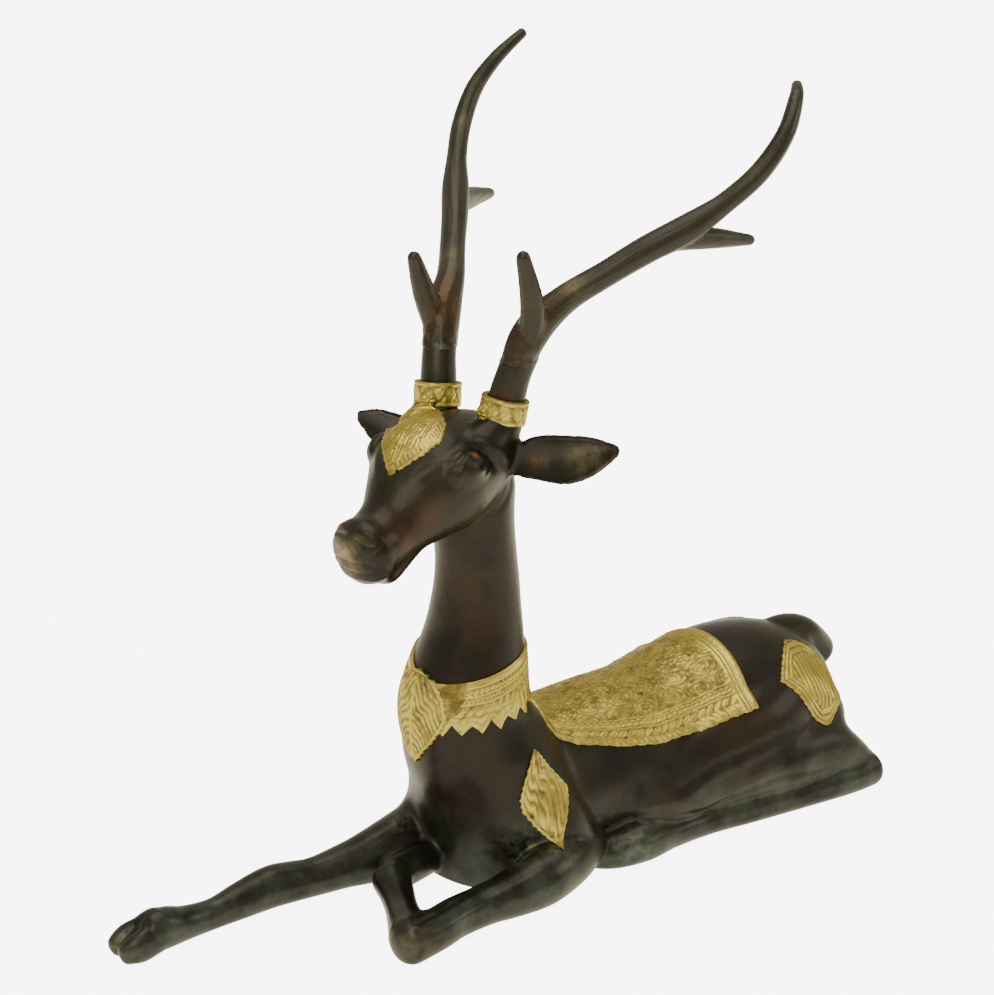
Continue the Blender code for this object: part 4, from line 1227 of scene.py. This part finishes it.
def tooth_at(s):
    """1 at the tip of a tooth and 0 halfway to the next tip."""
    return np.abs(2 * (s * TEETH - np.floor(s * TEETH)) - 1)


def neck_height(s, t):
    behind = (1 - np.cos(2 * math.pi * s)) / 2
    wave = tooth_at(s) * 2 - 1
    uneven = 1 + 0.25 * np.sin(9 * 2 * math.pi * s + 1)
    fringe = -TOOTH * uneven * wave * np.clip(1 - t / 0.35, 0, 1)
    far_rise = 7 * np.clip(np.sin(2 * math.pi * s), 0, 1) ** 0.7  # it sits higher on the far side
    return (86 + 8 * behind) * (1 - t) + (108 + 10 * behind + far_rise) * t + fringe


def neck_place(s, t):
    turn = 2 * math.pi * s
    outward = np.stack([-np.cos(turn), np.sin(turn), 0 * turn], 1)
    starts = np.stack([0 * s - 78, 0 * s, neck_height(s, t)], 1) + outward * RAY_START
    return skin_at(starts, -outward, tree)


def neck_pattern(s, t):
    v, u = COLLAR_WIDTH * t, s * COLLAR_LENGTH
    height = tallest(
        0.75 * band(v, 18.9, 30, 0.5),
        0.9 * beads(u, v - 17.4, COLLAR_LENGTH / 66, 1.3),
        0.8 * dome(v - 15.6, 0.7),
        0.8 * beads(u, v - 13.9, COLLAR_LENGTH / 88, 1.0),
        0.8 * dome(v - 12.2, 0.7),
        0.8 * np.sqrt(ripple(s * 2 * TEETH, 1)) * band(v, FRINGE, 11.3, 0.8),
        (v < FRINGE) * (0.25 + 0.4 * np.abs(np.cos(math.pi * tooth_at(s)))),
    )
    around = np.minimum(s, 1 - s) * COLLAR_LENGTH
    zs, widths = zip(*PENDANT[::-1])
    covered = np.interp(neck_height(s, t), zs, widths, left=0, right=0) - around
    dents = 0.1 * np.sin(s * 61 + 2 * np.sin(v)) * np.sin(v * 0.9 + s * 37)
    return PANEL_BASE + 0.85 * height + dents - band(covered, 3, FAR_AWAY, 1.2)


COLLAR_ROWS, CELLS_A_TOOTH = 44, 18
gilt_sheet("neck_collar", COLLAR_ROWS, TEETH * CELLS_A_TOOTH, neck_place, neck_pattern, ring=True)

# %% [markdown]
# Round the foot of each antler is a small gilt ring with a rim at each edge, diagonal leaves
# between, and an oval flower boss in front. The ring is the same wrapped grid, round the
# antler's own axis. The boss is a ball whose points are pushed out where there are petals.

# %% Antler collars and their bosses
RING_ROWS, RING_COLUMNS, RING_WIDTH, BOSS_RADIUS = 26, 156, 11.4, 4.3


def antler_ring(name, hand):
    foot, top = (head_point(c.x, c.y * hand, c.z) for c in (COLLAR_FOOT, COLLAR_TOP))
    axis = (top - foot).normalized()
    across = (HEAD_LEFT - axis * HEAD_LEFT.dot(axis)).normalized()
    front = axis.cross(across)

    def place(s, t):
        made = []
        for a, b in zip(s, t):
            turn = 2 * math.pi * a
            out = across * math.cos(turn) + front * math.sin(turn)
            made.append((foot.lerp(top, b) + out * COLLAR_RADIUS * 0.985) * UNIT)
        return made

    def pattern(s, t):
        v, length = RING_WIDTH * t, 2 * math.pi * COLLAR_RADIUS
        leaves = leaf_row(s * length, v - 5.7, length / 11, 4.2, 0.7) * band(v, 1.6, 9.8)
        return 0.05 + tallest(0.4 * dome(v - 1.0, 1.1), 0.45 * dome(v - 10.5, 1.0), 0.5 * leaves)

    gilt_sheet(name, RING_ROWS, RING_COLUMNS, place, pattern, ring=True, sink=2.4, soften=0)


def flower_boss(name, hand):
    inward = math.radians(18)
    f, l, z = (COLLAR_FOOT + COLLAR_TOP) / 2
    reach = 0.99 * COLLAR_RADIUS
    centre = head_point(f + reach * math.cos(inward), (l - reach * math.sin(inward)) * hand, z)
    out = (HEAD_FORWARD * math.cos(inward) - HEAD_LEFT * hand * math.sin(inward)).normalized()
    turned = HEAD_YAW - inward * hand
    mesh = mesh_from(name, [lambda bm: ball(bm, centre, BOSS_RADIUS, (0.66, 1, 1.1), turned, 72)])
    points, normals = read(mesh, "co"), read(mesh, "normal")
    away = points - np.array(centre)
    side = np.array(UP.cross(out))
    x, y = away @ side, away[:, 2]
    gap, turn = np.hypot(x, y), np.arctan2(y, x)
    facing = away @ np.array(out) > 0
    petals = 0.6 * dome(gap - 2.4, 1.3) * (0.45 + 0.55 * np.cos(8 * turn))
    height = tallest(0.7 * dome(gap, 1.1), petals) * facing
    write(mesh, points + normals * (height - 0.2 * facing)[:, None])
    # hollow marks where the boss's gilding gets painted shade
    mark(mesh, "hollow", np.clip(1 - height / 0.5, 0, 1) * (facing * 0.9 + 0.1))
    piece(name, mesh, "gilding", gold)


for hand, side in ((LEFT, "left"), (RIGHT, "right")):
    antler_ring(f"antler_collar_{side}", hand)
    flower_boss(f"collar_boss_{side}", hand)

# %% [markdown]
# A pale floor and soft light from above and the left, as in a plain photographer's studio. The
# floor is only a stage for the picture and isn't part of the figure.

# %% Floor and light
def plain(name, colour, roughness):
    n = Nodes(name)
    seen = n.add("ShaderNodeLightPath").outputs["Is Camera Ray"]
    n.surface(Base_Color=colour, Roughness=roughness, Emission_Color=colour)
    n.surface(Emission_Strength=n.ramp(seen, 0, 1, FLOOR_BOUNCE, FLOOR_GLOW))
    return n.material


FLOOR_GLOW, FLOOR_BOUNCE = 8, 1.5  # to the camera the floor is a white table; it lights the figure less
floor_mesh = mesh_from("floor", [lambda bm: bmesh.ops.create_grid(bm, x_segments=1, y_segments=1, size=6)])
floor_mesh.materials.append(plain("pale_floor", (0.8, 0.8, 0.8), 0.7))
floor = in_scene("floor", floor_mesh)


def lamp(name, place, size, power):
    """A square lamp that shines on the middle of the figure."""
    light = bpy.data.lights.new(name, "AREA")
    light.size, light.energy = size, power
    made = in_scene(name, light)
    made.location = place
    made.rotation_euler = (Vector((0, 0, 0.1)) - Vector(place)).to_track_quat("-Z", "Y").to_euler()


lamp("window", (-1.2, -0.9, 1.5), size=1.3, power=21)
lamp("sky", (0.2, 0.1, 1.9), size=1.4, power=23)
lamp("side", (1.4, -1.0, 0.9), size=0.7, power=6)
world = bpy.data.worlds.new("studio")
world.use_nodes = True
sky_light = world.node_tree.nodes["Background"]
sky_light.inputs["Color"].default_value, sky_light.inputs["Strength"].default_value = (1, 1, 1, 1), 0.78
bpy.context.scene.world = world

# %% [markdown]
# The camera stands where the photographer's did: ahead and to the left of the stag, a little
# above it, with a long lens. Its place was found by laying the outline over the picture.

# %% Camera
lens_pixels, picture_width = 2500, 995
camera_data = bpy.data.cameras.new("camera")
camera_data.sensor_width = 36
camera_data.lens = lens_pixels / picture_width * camera_data.sensor_width
camera = in_scene("camera", camera_data)
azimuth, elevation, distance = math.radians(-37), math.radians(20), 1.2
aim = Vector((-0.06, 0, 0.19)) + FIGURE_SHIFT
flat = math.cos(elevation)
back = Vector((math.sin(azimuth) * flat, -math.cos(azimuth) * flat, math.sin(elevation)))
camera.location = aim + back * distance
camera.rotation_euler = (-back).to_track_quat("-Z", "Y").to_euler()
bpy.context.scene.camera = camera
print("camera at", tuple(round(v, 4) for v in camera.location))
